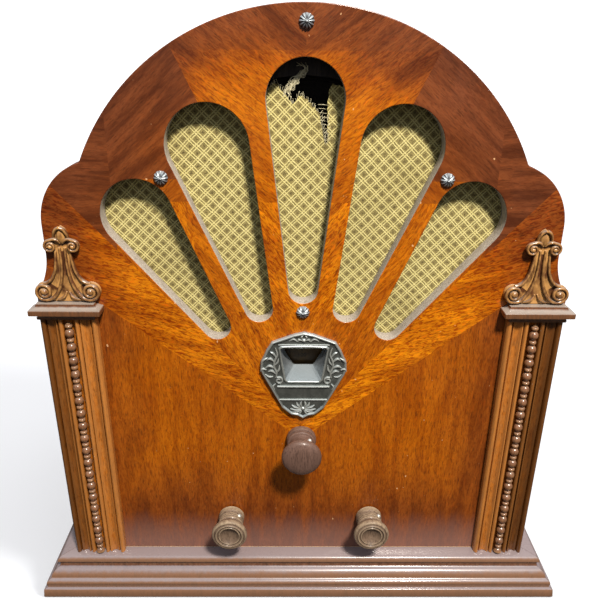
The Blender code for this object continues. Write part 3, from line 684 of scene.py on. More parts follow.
for face in shell.faces:
    spot = face.calc_center_median()
    face.normal_update()
    angle, tint = leaf(spot.x / MM, spot.z / MM)
    face[grain_layer] = math.radians(angle)
    face[tint_layer] = tint
    in_arch = spot.z / MM > ARCH_Z and math.hypot(spot.x / MM, spot.z / MM - ARCH_Z) > ARCH_BAND
    outside = abs(spot.x) > SIDE_BAND * MM or in_arch
    face.material_index = 0 if face.normal.y < -0.3 else 2 if outside and face.normal.y < 0.3 else 1
shell.to_mesh(panel_mesh)
shell.free()
print(len(panel_mesh.polygons), "faces in the front panel")

# %% Bare edges
raw_edge = wood("bare_edge_of_plywood", "#9a938a", "#857c72", "#64594e", 0.6, 0.05)
# The tan on the edge's ridges is wear and painted highlight; its hollows get painted shade.
toned_edge = wood("toned_edge_of_plywood", "#5f3318", "#45230f", "#241208", 0.4, 0.2,
                  wear_and_highlight=("#a8845c", 0.5), ridge_range=(0.53, 0.60))
piece("front_panel_veneered", panel_mesh, [veneer, raw_edge, toned_edge], replaces=["front_panel"],
      slot="walnut_veneer", crease=30)
print("edges:", raw_edge.name, "and", toned_edge.name)

# %% [markdown]
# ## Case and base
# The case behind the front is thin plywood bent round a former, veneered outside and bare inside, so its
# inner faces get the raw finish. The base moulding is cut on a spindle moulder: from the top a bead, a
# hollow, a round step, another bead and a square plinth. Each length is mitred at the front corners.

# %% Bent case
wrap_low, wrap_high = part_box("cabinet_wrap")
SET_BACK = HALF_WIDTH - wrap_high[0] / MM
WRAP_THICK = 8.0
wrap_front = (wrap_low[1] - FRONT_Y) / MM
wrap_back = (wrap_high[1] - FRONT_Y) / MM
outer = arch_outline(SET_BACK, wrap_low[2] / MM)
inner = arch_outline(SET_BACK + WRAP_THICK, wrap_low[2] / MM)
wrap_mesh = board("cabinet_wrap", [outer + inner[::-1]], wrap_front, wrap_back)
dark_veneer = wood("dark_stained_walnut_case", "#6f3c18", "#4a2510", "#241208", 0.36, 0.25)
bare_ply = wood("bare_birch_plywood", "#cda575", "#b08a5c", "#7a5733", 0.7, 0.0)
for polygon in wrap_mesh.polygons:
    spot, normal = polygon.center, polygon.normal
    away = spot.x * normal.x + (spot.z - ARCH_Z * MM) * normal.z
    polygon.material_index = 0 if away > 0 and abs(normal.y) < 0.5 else 1
piece("case_bent_plywood", wrap_mesh, [dark_veneer, bare_ply], replaces=["cabinet_wrap"],
      slot="walnut_veneer", crease=30)
print("case runs", round(wrap_back - wrap_front), "mm back from the front")

# %% Base moulding
def bulge(p0, z0, p1, z1, height, steps=5):
    """A run of a moulding from one edge to the next, bulged out (or hollowed, if negative)."""
    length = math.hypot(p1 - p0, z1 - z0)
    nx, nz = (z1 - z0) / length, -(p1 - p0) / length
    run = []
    for k in range(steps):
        t = k / steps
        swell = height * 4 * t * (1 - t)
        run.append((p0 + (p1 - p0) * t + nx * swell, z0 + (z1 - z0) * t + nz * swell))
    return run


BASE_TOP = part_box("base_moulding_front")[1][2] / MM
moulding = [(0.03, 0), (23.0, 0)] + bulge(23.0, 0, 24.0, 1.2, 0.3, 3) + bulge(24.0, 1.2, 23.4, 7.6, 0.0, 2)
moulding += bulge(23.4, 7.6, 21.3, 8.3, 0.3, 3) + [(21.0, 8.6), (21.0, 10.4)]
moulding += bulge(21.0, 10.4, 18.4, 15.2, 1.5, 8) + [(18.2, 15.4), (18.0, 16.0)]
moulding += bulge(18.0, 16.0, 12.6, 22.2, 1.3, 9) + bulge(12.2, 22.4, 12.4, 27.4, -0.9, 6)
moulding += bulge(12.9, 27.6, 8.6, BASE_TOP, 1.4, 9) + [(0.03, BASE_TOP)]
# The grey-mauve is painted sheen on the moulding's upward faces; the tan is wear with painted highlight on its
# ridges, and its hollows get painted shade.
base_wood = wood("worn_lacquered_base_moulding", "#563322", "#361f13", "#1d100a", 0.28, 0.5,
                 wear_and_highlight=("#8a6a52", 0.6), ridge_range=(0.53, 0.60), top_sheen=("#7b757a", 0.75))
MITRE_GAP = 0.15
depth = (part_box("base_moulding_right")[1][1] - FRONT_Y) / MM
front_run = skin([[(s * (HALF_WIDTH + p - MITRE_GAP), -p, z) for p, z in moulding] for s in (-1, 1)])
side_run = skin([[(HALF_WIDTH + p, -p + MITRE_GAP, z) for p, z in moulding],
                 [(HALF_WIDTH + p, depth, z) for p, z in moulding]])
for name, run in (("front", front_run), ("right", side_run), ("left", mirrored(side_run))):
    piece(f"moulding_{name}", run, base_wood, replaces=[f"base_moulding_{name}"], slot="turned_dark_wood", crease=50)
print(len(moulding), "points in the moulding's section")

# %% [markdown]
# ## Columns
# Each column is a fluted strip with a channel down its middle, and in the channel lies a turned string of
# balls and little reels. The strings were turned on a lathe as one stick and split or let in, so a lathe
# profile repeated along the axis gives them exactly.

# %% Fluted strips and bead strings
COLUMN = middle("pilaster_right")[0]
column_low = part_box("pilaster_right")[0][2] / MM
column_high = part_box("pilaster_right")[1][2] / MM
half = [(-20.0, -0.3), (-20.0, -4.8)] + bulge(-20.0, -4.8, -16.0, -4.8, 2.2, 10)
half += [(-15.9, -3.4), (-15.5, -3.2), (-15.2, -4.7)] + bulge(-15.0, -5.0, -9.2, -5.2, -1.8, 10)
half += [(-9.0, -5.7), (-8.3, -5.7), (-8.0, -3.3), (-7.6, -3.2), (-7.4, -4.8)]
half += bulge(-7.3, -5.4, -4.3, -5.4, 1.5, 8) + [(-4.2, -5.2), (-4.2, -2.2)]
section = half + [(-u, y) for u, y in reversed(half)]
strip = skin([[(COLUMN + u, y, z) for u, y in section] for z in (column_low, column_high)])
# The tan on the flutes' ridges is wear and painted highlight; the hollows get painted shade.
column_wood = wood("toned_lacquered_gumwood", "#a25c18", "#743d10", "#321809", 0.26, 0.5,
                   wear_and_highlight=("#b07a42", 0.55), ridge_range=(0.53, 0.59), outer=("#2c1508", 0.75))
string_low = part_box("bead_string_right")[0][2] / MM
BEAD_PITCH, BEAD_R, FIRST_BEAD, BEAD_COUNT = 11.2, 3.4, 45.0, 18
REEL = ((3.7, 1.5), (4.3, 1.5), (4.5, 2.2), (5.0, 2.6), (6.2, 2.6), (6.7, 2.2), (6.9, 1.5), (7.5, 1.5))
bead_y = middle("bead_string_right")[1]
profile = [(0, string_low - 2.4), (1.6, string_low - 2.4)]
for k in range(-1, BEAD_COUNT):
    centre = FIRST_BEAD + BEAD_PITCH * k
    for degrees in range(-66, 67, 22):
        a = math.radians(degrees)
        if centre + BEAD_R * math.sin(a) > string_low - 2.0:
            profile.append((BEAD_R * math.cos(a), centre + BEAD_R * math.sin(a)))
    for along, radius in REEL:
        if centre + along < column_high - 0.5 and centre + along > string_low - 2.0:
            profile.append((radius, centre + along))
profile.append((0, profile[-1][1] + 0.3))
beads = lathe(profile, 20, (COLUMN, bead_y), "Z")
# The pale tan on upward faces is painted sheen; the ridges get wear with painted highlight, and the hollows painted
# shade.
bead_wood = wood("brown_lacquered_turned_beads", "#6f4a33", "#4c301f", "#20120b", 0.28, 0.6,
                 wear_and_highlight=("#b08c62", 0.6), ridge_range=(0.53, 0.62), top_sheen=("#a08c74", 0.3))
for name, flip in SIDES:
    piece(f"column_{name}", flip(strip), column_wood, replaces=[f"pilaster_{name}"], slot="walnut_veneer",
          crease=40)
    piece(f"beads_{name}", flip(beads), bead_wood, replaces=[f"bead_string_{name}"], slot="turned_dark_wood",
          crease=50)
print("bead strings:", BEAD_COUNT + 1, "balls each,", BEAD_PITCH, "mm apart")

# %% Capitals
CAPITAL_OUT = 12.2


def capital():
    """Rings from the underside up: a band, a groove, a cove, the square slab and the hollow on top of it."""
    levels = [(146.8, 186.8, -7.4, 246.2), (146.2, 187.4, -8.4, 246.8), (146.2, 187.4, -8.4, 248.4),
              (146.6, 187.0, -8.0, 248.9), (147.4, 186.4, -7.2, 249.0), (147.2, 186.6, -7.4, 249.6)]
    for t in range(1, 6):
        out, rise = 1 - math.cos(math.radians(18 * t)), math.sin(math.radians(18 * t))
        levels.append((147.2 - 4.6 * out, 186.6 + 4.2 * out, -7.4 - 4.2 * out, 249.6 + 1.2 * rise))
    levels += [(141.9, 191.3, -12.1, 250.9), (141.7, 191.5, -CAPITAL_OUT, 251.3),
               (141.7, 191.5, -CAPITAL_OUT, 254.4), (142.0, 191.2, -11.9, 254.8)]
    for t in range(1, 7):
        back, rise = math.sin(math.radians(15 * t)), 1 - math.cos(math.radians(15 * t))
        levels.append((142.0 + 4.4 * back, 191.2 - 4.2 * back, -11.9 + 4.2 * back, 254.8 + 3.4 * rise))
    return skin([[(a, -0.05, z), (b, -0.05, z), (b, y + 0.4, z), (b - 0.4, y, z), (a + 0.4, y, z), (a, y + 0.4, z)]
                 for a, b, y, z in levels])


# The grey on the capitals' upward faces is painted sheen; the ridges get wear with painted highlight, and the hollows
# painted shade.
carved_dark = wood("brown_lacquered_carved_birch", "#5a361d", "#3e2416", "#1f110b", 0.3, 0.3,
                   wear_and_highlight=("#7d5c42", 0.35), ridge_range=(0.53, 0.62), top_sheen=("#8f8880", 0.8))
for name, flip in SIDES:
    piece(f"capital_block_{name}", flip(capital()), carved_dark, replaces=[f"capital_{name}"],
          slot="turned_dark_wood", crease=28)
print("capitals stand", CAPITAL_OUT, "mm proud")

# %% [markdown]
# ## Carved finials
# A finial is a little scroll bracket: a pair of raised ribs rises from each big volute to a small one, and a
# hooded bud stands between them. A carver cuts the ground away and leaves the ribs, so it is made the same
# way round here: a flat ground board with carved strokes laid on it. A stroke is a round rib whose width
# can change along its path, which is all a volute needs. The right one is made, and mirrored for the left.
# Handling has rubbed the stain off the ribs, so the finish turns golden wherever the surface stands out. That
# gold also serves as a painted highlight; the hollows get painted shade, and upward faces a painted sheen.

# %% Finial
FINIAL = middle("finial_right")[0]


def ribbed(points, depth=1.5, steps=8, sides=10):
    """A carved stroke through (across, height, depth, radius) points, measured from the finial's middle."""
    run = smooth_path([(FINIAL + u, -y, z, r) for u, z, y, r in points], steps)
    return stroke([p[:3] for p in run], [p[3] for p in run], depth, sides)


def volute(u, z, turns, radius, y, thick, start, clockwise=True):
    """Points of a rib that rolls up into an eye."""
    made = []
    steps = round(turns * 8)
    for k in range(steps + 1):
        t = k / steps
        angle = math.radians(start) + (-1 if clockwise else 1) * 2 * math.pi * turns * t
        reach = radius * (1 - 0.62 * t)
        made.append((u + reach * math.cos(angle), z + reach * math.sin(angle), y + 1.6 * t, thick * (1 - 0.35 * t)))
    return made


def dome(u, z, levels, sides):
    return lathe([(r, -y) for r, y in levels], sides, (FINIAL + u, z))


def finial_half():
    """The right half's ribs, the trough between two of them, and the round eyes of its volutes."""
    inner_rib = [(1.9, 298.5, 2.9, 0.9), (1.7, 291, 2.9, 1.0), (2.0, 283, 2.9, 1.1), (3.2, 275, 2.9, 1.2),
                 (5.8, 267.6, 3.0, 1.3), (10.0, 262.0, 3.2, 1.4)]
    inner_rib += volute(16, 266.3, 1.45, 6.2, 3.4, 1.45, -105, clockwise=False)
    outer_rib = [(5.0, 296, 2.6, 0.9), (5.5, 289, 2.7, 1.1), (7.0, 281.5, 2.8, 1.2), (10.0, 275.6, 3.0, 1.3),
                 (13.4, 272.9, 3.3, 1.3), (16.2, 272.4, 3.5, 1.1)]
    trough = skin([[(FINIAL + u, -y, z) for u, z, y in row] for row in (
        [(1.9, 297, 2.3), (2.8, 297, 2.9), (3.6, 297, 2.9), (5.0, 297, 2.3)],
        [(1.8, 289, 2.3), (3.0, 289, 2.7), (4.0, 289, 2.7), (5.5, 289, 2.3)],
        [(2.1, 282, 2.3), (3.6, 282, 2.6), (5.2, 282, 2.6), (7.0, 282, 2.3)],
        [(3.4, 275, 2.3), (5.4, 275.4, 2.6), (7.6, 276, 2.6), (9.6, 276.4, 2.3)],
        [(6.0, 268, 2.3), (8.0, 269.4, 2.6), (10.2, 271, 2.6), (12.4, 272.6, 2.3)])])
    large_eye = dome(16, 266.3, [(0, 6.9), (1.2, 6.7), (2.2, 5.8), (2.7, 4.6), (2.9, 2.0), (0, 2.0)], 20)
    small_rib = [(0.8, 301.6, 2.9, 0.8), (2.2, 303.4, 3.3, 1.0), (4.6, 304.4, 3.6, 1.1)]
    small_rib += volute(7.6, 299.6, 1.3, 4.3, 3.7, 1.15, 95)
    small_eye = dome(7.6, 299.3, [(0, 6.4), (0.9, 6.2), (1.6, 5.4), (1.9, 4.2), (2.0, 2.0), (0, 2.0)], 16)
    hood = [(5.0, 304.9, 2.8, 0.8), (4.3, 308.2, 3.4, 1.1), (2.6, 311.2, 3.9, 1.2), (0.2, 312.6, 4.1, 1.2)]
    foot = [(0.9, 266, 2.4, 0.6), (2.6, 262.6, 2.9, 1.1), (5.6, 260.6, 3.0, 0.9), (8.2, 259.9, 2.6, 0.5)]
    return together(ribbed(inner_rib), ribbed(outer_rib), trough, large_eye, ribbed(small_rib), small_eye,
                    ribbed(hood), ribbed(foot))


def finial_ground():
    half_edge = [(0, 258.7), (9, 258.9)] + arc(16, 266.2, 6.6, 6.6, -90, 120, 14)
    half_edge += [(9.8, 275.2), (7.2, 282), (5.8, 289), (5.1, 294)] + arc(7.5, 299.3, 4.0, 4.0, -100, 110, 14)
    half_edge += [(4.8, 305), (4.3, 308.2), (2.6, 311.6), (0, 313.4)]
    outline = [(FINIAL + u, z) for u, z in half_edge] + [(FINIAL - u, z) for u, z in reversed(half_edge[1:-1])]
    return skin([[(x, y, z) for x, z in outline] for y in (-0.3, -2.4)])


BUD = ((301.2, 0.4, 1.2), (303.0, 2.2, 2.6), (305.6, 3.1, 3.2), (308.4, 2.5, 3.0), (310.8, 1.3, 2.2),
       (312.0, 0.3, 1.4))
bud = skin([[(FINIAL + wide * math.cos(math.radians(a)), -2.0 - deep * max(0, math.sin(math.radians(a))) ** 0.7, z)
             for a in range(0, 360, 30)] for z, wide, deep in BUD])
scrolls = finial_half()
finial = together(finial_ground(), scrolls, mirrored(scrolls, FINIAL), bud)
# The gold on the ribs is wear and painted highlight, the grey on upward faces is painted sheen, and the hollows get
# painted shade.
carved_finish = wood("carved_birch_golden_wear_and_highlight", "#51301c", "#352012", "#1d100a", 0.3, 0.4,
                     wear_and_highlight=("#b98b50", 0.9), ridge_range=(0.535, 0.59), top_sheen=("#9b8f80", 0.45))
for name, flip in SIDES:
    piece(f"finial_scroll_{name}", flip(finial), carved_finish, replaces=[f"finial_{name}"],
          slot="turned_dark_wood", crease=50)
print(len(finial[0]), "points in a finial")

# %% [markdown]
# ## Dial escutcheon
# The escutcheon is a small casting in white metal, plated and then oxidised so that only the high spots shine.
# A hopper slopes from a framed mouth back to the window, which shades the dial from room light. Every
# edge of it can be seen from one point inside the window, so a ring of rays from that point finds
# matching points on each outline, and rings of them are skinned one after another. The leaves, scrolls
# and the frame are carved strokes again. The band below the window, where a name would be, is plain.

# %% Rings of the casting
PLATE_X, EYE_Z = middle("escutcheon")[0], 208.0
KEYSTONE = ((0, 234.8), (7, 233.2), (23.5, 226.8), (27.6, 220), (29.6, 215), (31.6, 211), (32, 204.5),
            (30.6, 200.5), (15.8, 171.5), (9, 165.5), (4, 164.6), (0, 162.2))
plate_edge = list(KEYSTONE) + [(-x, z) for x, z in reversed(KEYSTONE[1:-1])]
mouth, throat = [left + [(-x, z) for x, z in reversed(left)] for left in (
    [(-15.5, 222.5), (-17, 221), (-13.2, 197), (-11.4, 195)],
    [(-15.5, 218.5), (-16.2, 217.4), (-7.9, 202.6), (-7.2, 202)])]


def reach(outline, angle):
    """How far a ray from the window's middle goes to an outline."""
    dx, dz = math.cos(angle), math.sin(angle)
    best = 0.0
    for (x0, z0), (x1, z1) in zip(outline, outline[1:] + outline[:1]):
        ex, ez = x1 - x0, z1 - z0
        cross = dx * ez - dz * ex
        if abs(cross) > 1e-9:
            far = (x0 * ez - (z0 - EYE_Z) * ex) / cross
            along = (x0 * dz - (z0 - EYE_Z) * dx) / cross
            if far > 0 and -1e-6 <= along <= 1 + 1e-6:
                best = max(best, far)
    return best


corners = [math.atan2(z - EYE_Z, x) for x, z in plate_edge + mouth + throat]
ray_angles = list(corners)
RAYS, NEAR_CORNER = 240, math.radians(0.7)
for k in range(RAYS):
    angle = -math.pi + 2 * math.pi * k / RAYS
    if all(abs(angle - other) > NEAR_CORNER for other in corners):
        ray_angles.append(angle)
ray_angles = sorted(set(round(a, 5) for a in ray_angles))


def cast_ring(outline, grow, y):
    """An outline's points on every ray, grown by a little, at one depth."""
    rays = [(a, reach(outline, a) + grow) for a in ray_angles]
    return [(PLATE_X + far * math.cos(a), y, EYE_Z + far * math.sin(a)) for a, far in rays]


plate = skin([cast_ring(*ring) for ring in (
    (plate_edge, 0, -0.3), (plate_edge, 0, -2.7), (plate_edge, -0.25, -3.3), (plate_edge, -0.8, -3.6),
    (plate_edge, -1.4, -3.5), (plate_edge, -1.9, -3.0), (plate_edge, -2.3, -2.4), (mouth, 3.0, -2.3),
    (mouth, 2.2, -2.5), (mouth, 1.8, -3.1), (mouth, 1.2, -3.5), (mouth, 0.6, -3.5), (mouth, 0.1, -3.1),
    (mouth, 0, -2.6), (throat, 0.2, 9.8), (throat, 0, 10.6), (throat, 0.9, 10.6), (mouth, 1.0, -0.3))], closed=True)
print(len(ray_angles), "rays round the escutcheon")

# %% Leaves, scrolls and frame of the casting
def sprig(points, depth=1.1, lift=2.6):
    """A cast leaf or stem through (across, height, radius) points, on the right of the plate's middle."""
    run = smooth_path([(PLATE_X + u, -lift, z, r) for u, z, r in points], 4)
    return stroke([p[:3] for p in run], [p[3] for p in run], depth, 8)


curl = [(u, z, thick) for u, z, _, thick in volute(18.2, 195.2, 1.2, 3.0, 0, 0.85, 60, clockwise=False)]
LOW, HIGH = (1.1, 2.6), (1.2, 2.9)
leaves = [
    (curl, LOW),
    ([(20.6, 197.6, 0.5), (20.0, 202, 0.8), (21.8, 207, 0.8), (21.2, 212, 0.8), (19.4, 217, 0.7),
      (20.8, 222.4, 0.4)], LOW),
    ([(20.4, 200.6, 0.4), (23.4, 203.4, 1.0), (26.2, 202.6, 0.4)], LOW),
    ([(21.6, 205.6, 0.4), (25.0, 207.6, 1.1), (28.0, 206.0, 0.4)], LOW),
    ([(21.6, 210.8, 0.4), (24.6, 213.6, 1.1), (27.2, 212.2, 0.4)], LOW),
    ([(20.2, 214.6, 0.4), (22.6, 218.0, 0.9), (24.6, 219.0, 0.3)], LOW),
    ([(20.2, 201.8, 0.4), (18.2, 204.6, 0.9), (17.9, 208.0, 0.3)], LOW),
    ([(21.4, 208.0, 0.4), (19.2, 210.6, 0.8), (18.6, 213.4, 0.3)], LOW),
    ([(26.6, 214.4, 0.4), (29.2, 213.0, 1.0), (31.0, 210.6, 0.7)], HIGH),
    ([(27.6, 204.4, 0.5), (30.4, 205.4, 1.0), (31.6, 203.4, 0.6)], HIGH),
    ([(22.6, 198.6, 0.3), (25.6, 198.4, 0.8), (28.4, 200.6, 0.3)], LOW),
    ([(20.8, 192.4, 0.4), (22.6, 190.0, 0.8), (21.4, 187.2, 0.3)], LOW),
    ([(0.9, 229.4, 0.3), (1.9, 231.4, 0.8), (0.6, 232.6, 0.3)], LOW),
    ([(1.4, 228.6, 0.4), (3.8, 229.2, 0.9), (4.2, 227.4, 0.3)], LOW),
    ([(4.6, 227.6, 0.4), (7.6, 229.6, 0.8), (10.8, 228.0, 0.3)], LOW),
    ([(0.6, 171.6, 0.5), (1.8, 174.6, 1.0), (1.2, 177.2, 0.3)], LOW),
    ([(1.0, 171.4, 0.5), (4.0, 173.8, 1.0), (4.8, 176.2, 0.3)], LOW),
    ([(1.4, 171.0, 0.5), (5.8, 172.0, 1.0), (8.6, 174.0, 0.4)], LOW),
    ([(1.4, 170.2, 0.5), (5.4, 169.6, 0.9), (9.6, 170.6, 0.4)], LOW),
    ([(1.2, 169.6, 0.5), (4.4, 168.0, 0.9), (9.2, 166.8, 0.5)], LOW),
    ([(0.8, 169.2, 0.5), (2.4, 166.8, 0.8), (3.4, 165.4, 0.3)], LOW),
]
right_work = together(*[sprig(points, *level) for points, level in leaves])
bars = [sprig([(-17.6, 190.2, 0.5), (-17.0, 190.2, 0.8), (17.0, 190.2, 0.8), (17.6, 190.2, 0.5)], 1.2, 2.7),
        sprig([(-16.6, 178.8, 0.4), (-16.0, 178.8, 0.6), (16.0, 178.8, 0.6), (16.6, 178.8, 0.4)], 1.2, 2.7),
        sprig([(-18.4, 224.6, 0.3), (-15.0, 225.0, 0.5), (15.0, 225.0, 0.5), (18.4, 224.6, 0.3)])]
bosses = [lathe([(0, -3.9), (0.9, -3.6), (1.4, -2.9), (1.5, -2.2), (0, -2.2)], 14, (PLATE_X, z))
          for z in (228.6, 171.0)]
print(len(leaves), "leaves and scrolls on each side of the plate")


# %% Oxidised casting
def oxidised(name, dark, bright, roughness):
    """Cast metal whose hollows stay dark; the ridges are polished by handling, and upward faces get a pale painted
    sheen.
    """
    made, tree = finish(name, {"Metallic": 0.6})
    grit, patches = pattern(tree, 0.9, 0.9, 4, 0.6), pattern(tree, 6, 6, 3, 0.6)
    colour = lay(tree, dark, bright, add(tree, "MapRange", patches, 0.3, 0.8, 0.0, 0.22, **EASED))
    point = add(tree, "NewGeometry", out="Pointiness")
    raised = add(tree, "Math", point, swing(tree, grit, 0.08), **PLUS)
    colour = lay(tree, colour, bright, add(tree, "MapRange", raised, 0.50, 0.58, **EASED))
    colour = lay(tree, colour, "#2b2c29", add(tree, "MapRange", point, 0.42, 0.485, 0.7, 0.0, **EASED))
    # Painted reflection: upward faces are laid over with pale blue-grey for the light from above.
    colour = lay(tree, colour, "#b4c3ca", painted_sheen_mask(tree, 0.25, 0.75), 0.6)
    rough = add(tree, "MapRange", grit, 0.3, 0.7, roughness + 0.1, roughness - 0.06, **EASED)
    return dress(made, colour, rough, grit, 0.35)


pewter = oxidised("oxidised_cast_white_metal", "#575b57", "#a3a7a1", 0.42)
# The hopper's faces get a brighter copy of the same casting finish, as painted reflection of the light from above.
hopper_sheen_metal = oxidised("white_metal_painted_bright_in_hopper", "#6f7577", "#c3cbd0", 0.34)
plate_mesh = mesh_of("dial_escutcheon", together(plate, right_work, mirrored(right_work, PLATE_X), *bars, *bosses))
for polygon in plate_mesh.polygons:
    depth = (polygon.center.y - FRONT_Y) / MM
    polygon.material_index = 1 if 1 < depth < 9 and polygon.normal.y < 0 else 0
piece("dial_escutcheon", plate_mesh, [pewter, hopper_sheen_metal], replaces=["escutcheon"], slot="oxidised_casting", crease=42)
print("finishes:", pewter.name, "with", hopper_sheen_metal.name, "in the hopper")

# %% [markdown]
# ## Rosette screws
# The screws that hold the loudspeaker board have pressed, fluted heads like small umbrellas. On a lathe every
# ring is round, so the flutes are made by lowering and drawing in each point by its angle as it is turned.

# %% Rosette screws
HEAD_R, FLUTES = 4.8, 12


def fluted(angle, radius, along):
    share = radius / HEAD_R if along < -0.25 else 0.0
    dip = 0.5 - 0.5 * math.cos(FLUTES * angle)
    return radius * (1 - 0.05 * dip * share), along + 0.75 * dip * share


rosette_profile = [
    (0, -4.0), (0.7, -3.9), (1.1, -3.4), (1.6, -3.3), (2.6, -3.1), (3.5, -2.6), (4.2, -1.9), (4.7, -1.1),
    (4.8, -0.6), (4.7, -0.3), (1.6, -0.2), (1.6, 11.0), (0, 12.2)]
dull_screw = oxidised("tarnished_pressed_rosette", "#3b3e41", "#909397", 0.4)
for name in ("top", "left", "right", "bottom"):
    x, _, z = middle(f"rosette_screw_{name}")
    piece(f"rosette_{name}", lathe(rosette_profile, 72, (x, z), shape=fluted), dull_screw,
          replaces=[f"rosette_screw_{name}"], slot="oxidised_casting", crease=30)
print("rosettes:", HEAD_R * 2, "mm across with", FLUTES, "flutes")

# %% [markdown]
# ## Knobs
# Each knob is one lathe profile, with a blind bore behind for its shaft. The tuning knob has a broad, faintly
# domed face. The lower pair have a dished face inside two rings and a ringed neck. Grubby lacquer makes
# the first dark and hazy. The other two are dull brown, rubbed back to pale wood where a ring stands out. On all
# three, the pale on the rings also serves as a painted highlight, and the grooves get painted shade. A set screw
# leans into each neck at 45 degrees. It turns with its knob, so both ride on the same body.

# %% Knobs and set screws
TUNING_Z, LOWER_X, LOWER_Z = 143.0, 56.5, 66.0
dark_turning = wood("hazed_dark_turned_beech", "#5e483e", "#4b382f", "#3e2e27", 0.46, 0.14, figure=0.2,
                    wear_and_highlight=("#9a8878", 0.5), ridge_range=(0.53, 0.62))
pale_turning = wood("worn_pale_turned_beech", "#6a5848", "#524336", "#33261d", 0.5, 0.05, figure=0.2,
                    wear_and_highlight=("#a8977c", 0.75), ridge_range=(0.515, 0.575))
tuning_profile = [
    (0, -30.9), (3, -30.85), (7.5, -30.5), (10.4, -29.9), (12.4, -29.2), (13.4, -28.7), (13.7, -28.4),
    (14.3, -27.8), (14.9, -26.6), (15.0, -25.6), (14.8, -24.6), (14.0, -23.4), (12.6, -22.3), (11.0, -21.4),
    (9.6, -20.0), (8.7, -18.4), (8.3, -16.6), (8.2, -14.6), (8.5, -12.4), (9.1, -10.6), (9.3, -10.2),
    (10.3, -9.9), (10.8, -9.2), (10.9, -8.2), (10.7, -7.3), (10.0, -6.8), (9.7, -6.5), (10.0, -6.1),
    (11.0, -5.7), (11.4, -5.0), (11.4, -1.8), (11.0, -1.2), (3.5, -1.2), (3.5, -22), (0, -22)]
lower_profile = [
    (0, -21.8), (2.4, -22.0), (4.8, -22.7), (6.6, -23.7), (7.4, -24.4), (7.9, -24.9), (8.4, -24.9),
    (8.8, -24.4), (9.2, -24.3), (9.6, -24.9), (10.1, -25.3), (10.7, -25.3), (11.2, -24.7), (11.6, -24.5),
    (12.4, -24.7), (13.2, -24.3), (13.8, -23.4), (14.0, -22.2), (13.8, -21.0), (13.2, -20.2), (12.4, -19.7),
    (12.2, -19.2), (12.0, -18.4), (11.2, -17.6), (11.0, -17.0), (10.7, -16.4), (9.9, -15.8), (9.7, -15.2),
    (9.8, -14.6), (10.3, -14.0), (10.3, -12.9), (9.8, -12.3), (9.4, -12.1), (9.4, -11.7), (9.9, -11.3),
    (10.0, -10.7), (9.8, -10.1), (9.2, -9.8), (9.2, -9.4), (9.7, -9.1), (9.8, -8.5), (9.6, -7.9), (9.1, -7.6),
    (9.1, -7.2), (9.7, -6.8), (9.8, -6.4), (10.3, -5.6), (10.4, -1.8), (10.0, -1.2), (3.5, -1.2), (3.5, -17),
    (0, -17)]
screw_metal = oxidised("worn_plated_steel_screw", "#5c574d", "#d8d3c6", 0.32)


def leaning_screw(x, z, y, low, high, radius):
    """A set screw along a line that leans 45 degrees up and to the right, with a hollow end."""
    profile = [(0, low), (radius, low), (radius, high - 0.5), (radius - 0.4, high), (0.9, high),
               (0.8, high - 1.2), (0, high - 1.3)]
    points, faces = lathe(profile, 18, (0, 0), "Z")
    lean = math.sin(math.radians(45))
    return [(x + (h + u) * lean, y + v, z + (h - u) * lean) for u, v, h in points], faces


for name, x, z, profile, finish_of, slot, neck_y, neck_r in (
    ("tuning", 0.0, TUNING_Z, tuning_profile, dark_turning, "dark_knob_wood", -13.5, 8.3),
    ("volume", -LOWER_X, LOWER_Z, lower_profile, pale_turning, "light_knob_wood", -9.2, 9.4),
    ("tone", LOWER_X, LOWER_Z, lower_profile, pale_turning, "light_knob_wood", -9.2, 9.4),
):
    piece(f"{name}_knob_turned", lathe(profile, 72, (x, z)), finish_of, f"{name}_knob", [f"knob_{name}"], slot, 28)
    piece(f"{name}_grub_screw", leaning_screw(x, z, neck_y, 3.6, neck_r + 1.6, 1.6), screw_metal,
          f"{name}_knob", [f"set_screw_{name}"], "plated_steel", 30)

# %% [markdown]
# ## Grille cloth
# The cloth is a stiff cotton damask, stretched flat and glued round the edge of the loudspeaker board. Pale
# double threads cross on the diagonal every 6.4 mm and leave olive diamonds between them. This one is torn
# behind the top of the middle opening. A tear follows the threads, so its edge is drawn as a polygon
# along the diagonals and roughened by half a millimetre, then it is cut out of the sheet with the rest
# filled. Loose threads hang into the hole as fine curves.

# %% Cutting the cloth and its tear
CLOTH_Y = middle("grille_cloth")[1]
CLOTH_R = 144.4
CLOTH_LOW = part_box("grille_cloth")[0][2] / MM + 0.1
TEAR = [(-28, 401), (-24, 401.5), (-20.5, 405), (-18, 404.5), (-15.5, 400), (-12.5, 397.5), (-10, 394), (-8.2, 392),
        (-6, 394), (-4.8, 397), (-2, 397.2), (1, 395), (4.5, 391.5), (8, 388), (10, 384), (11, 379), (12, 373),
        (13, 369), (14, 366.5), (15.2, 369), (15, 376), (14.6, 385), (14.6, 394), (15.4, 401), (17.2, 404.6),
        (20.5, 404), (24, 403), (28, 405), (28, 424), (-28, 424)]


def ragged(outline, step=0.9, rough=0.45):
    """Splits an outline into short steps and moves every other one aside, as broken threads would."""
    made = []
    for (x0, z0), (x1, z1) in zip(outline, outline[1:] + outline[:1]):
        count = max(1, round(math.hypot(x1 - x0, z1 - z0) / step))
        for k in range(count):
            x, z = x0 + (x1 - x0) * k / count, z0 + (z1 - z0) * k / count
            push = rough * math.sin(12.9898 * x + 78.233 * z) if z < 410 else 0
            made.append((x + push * 0.7, z + push))
    return made


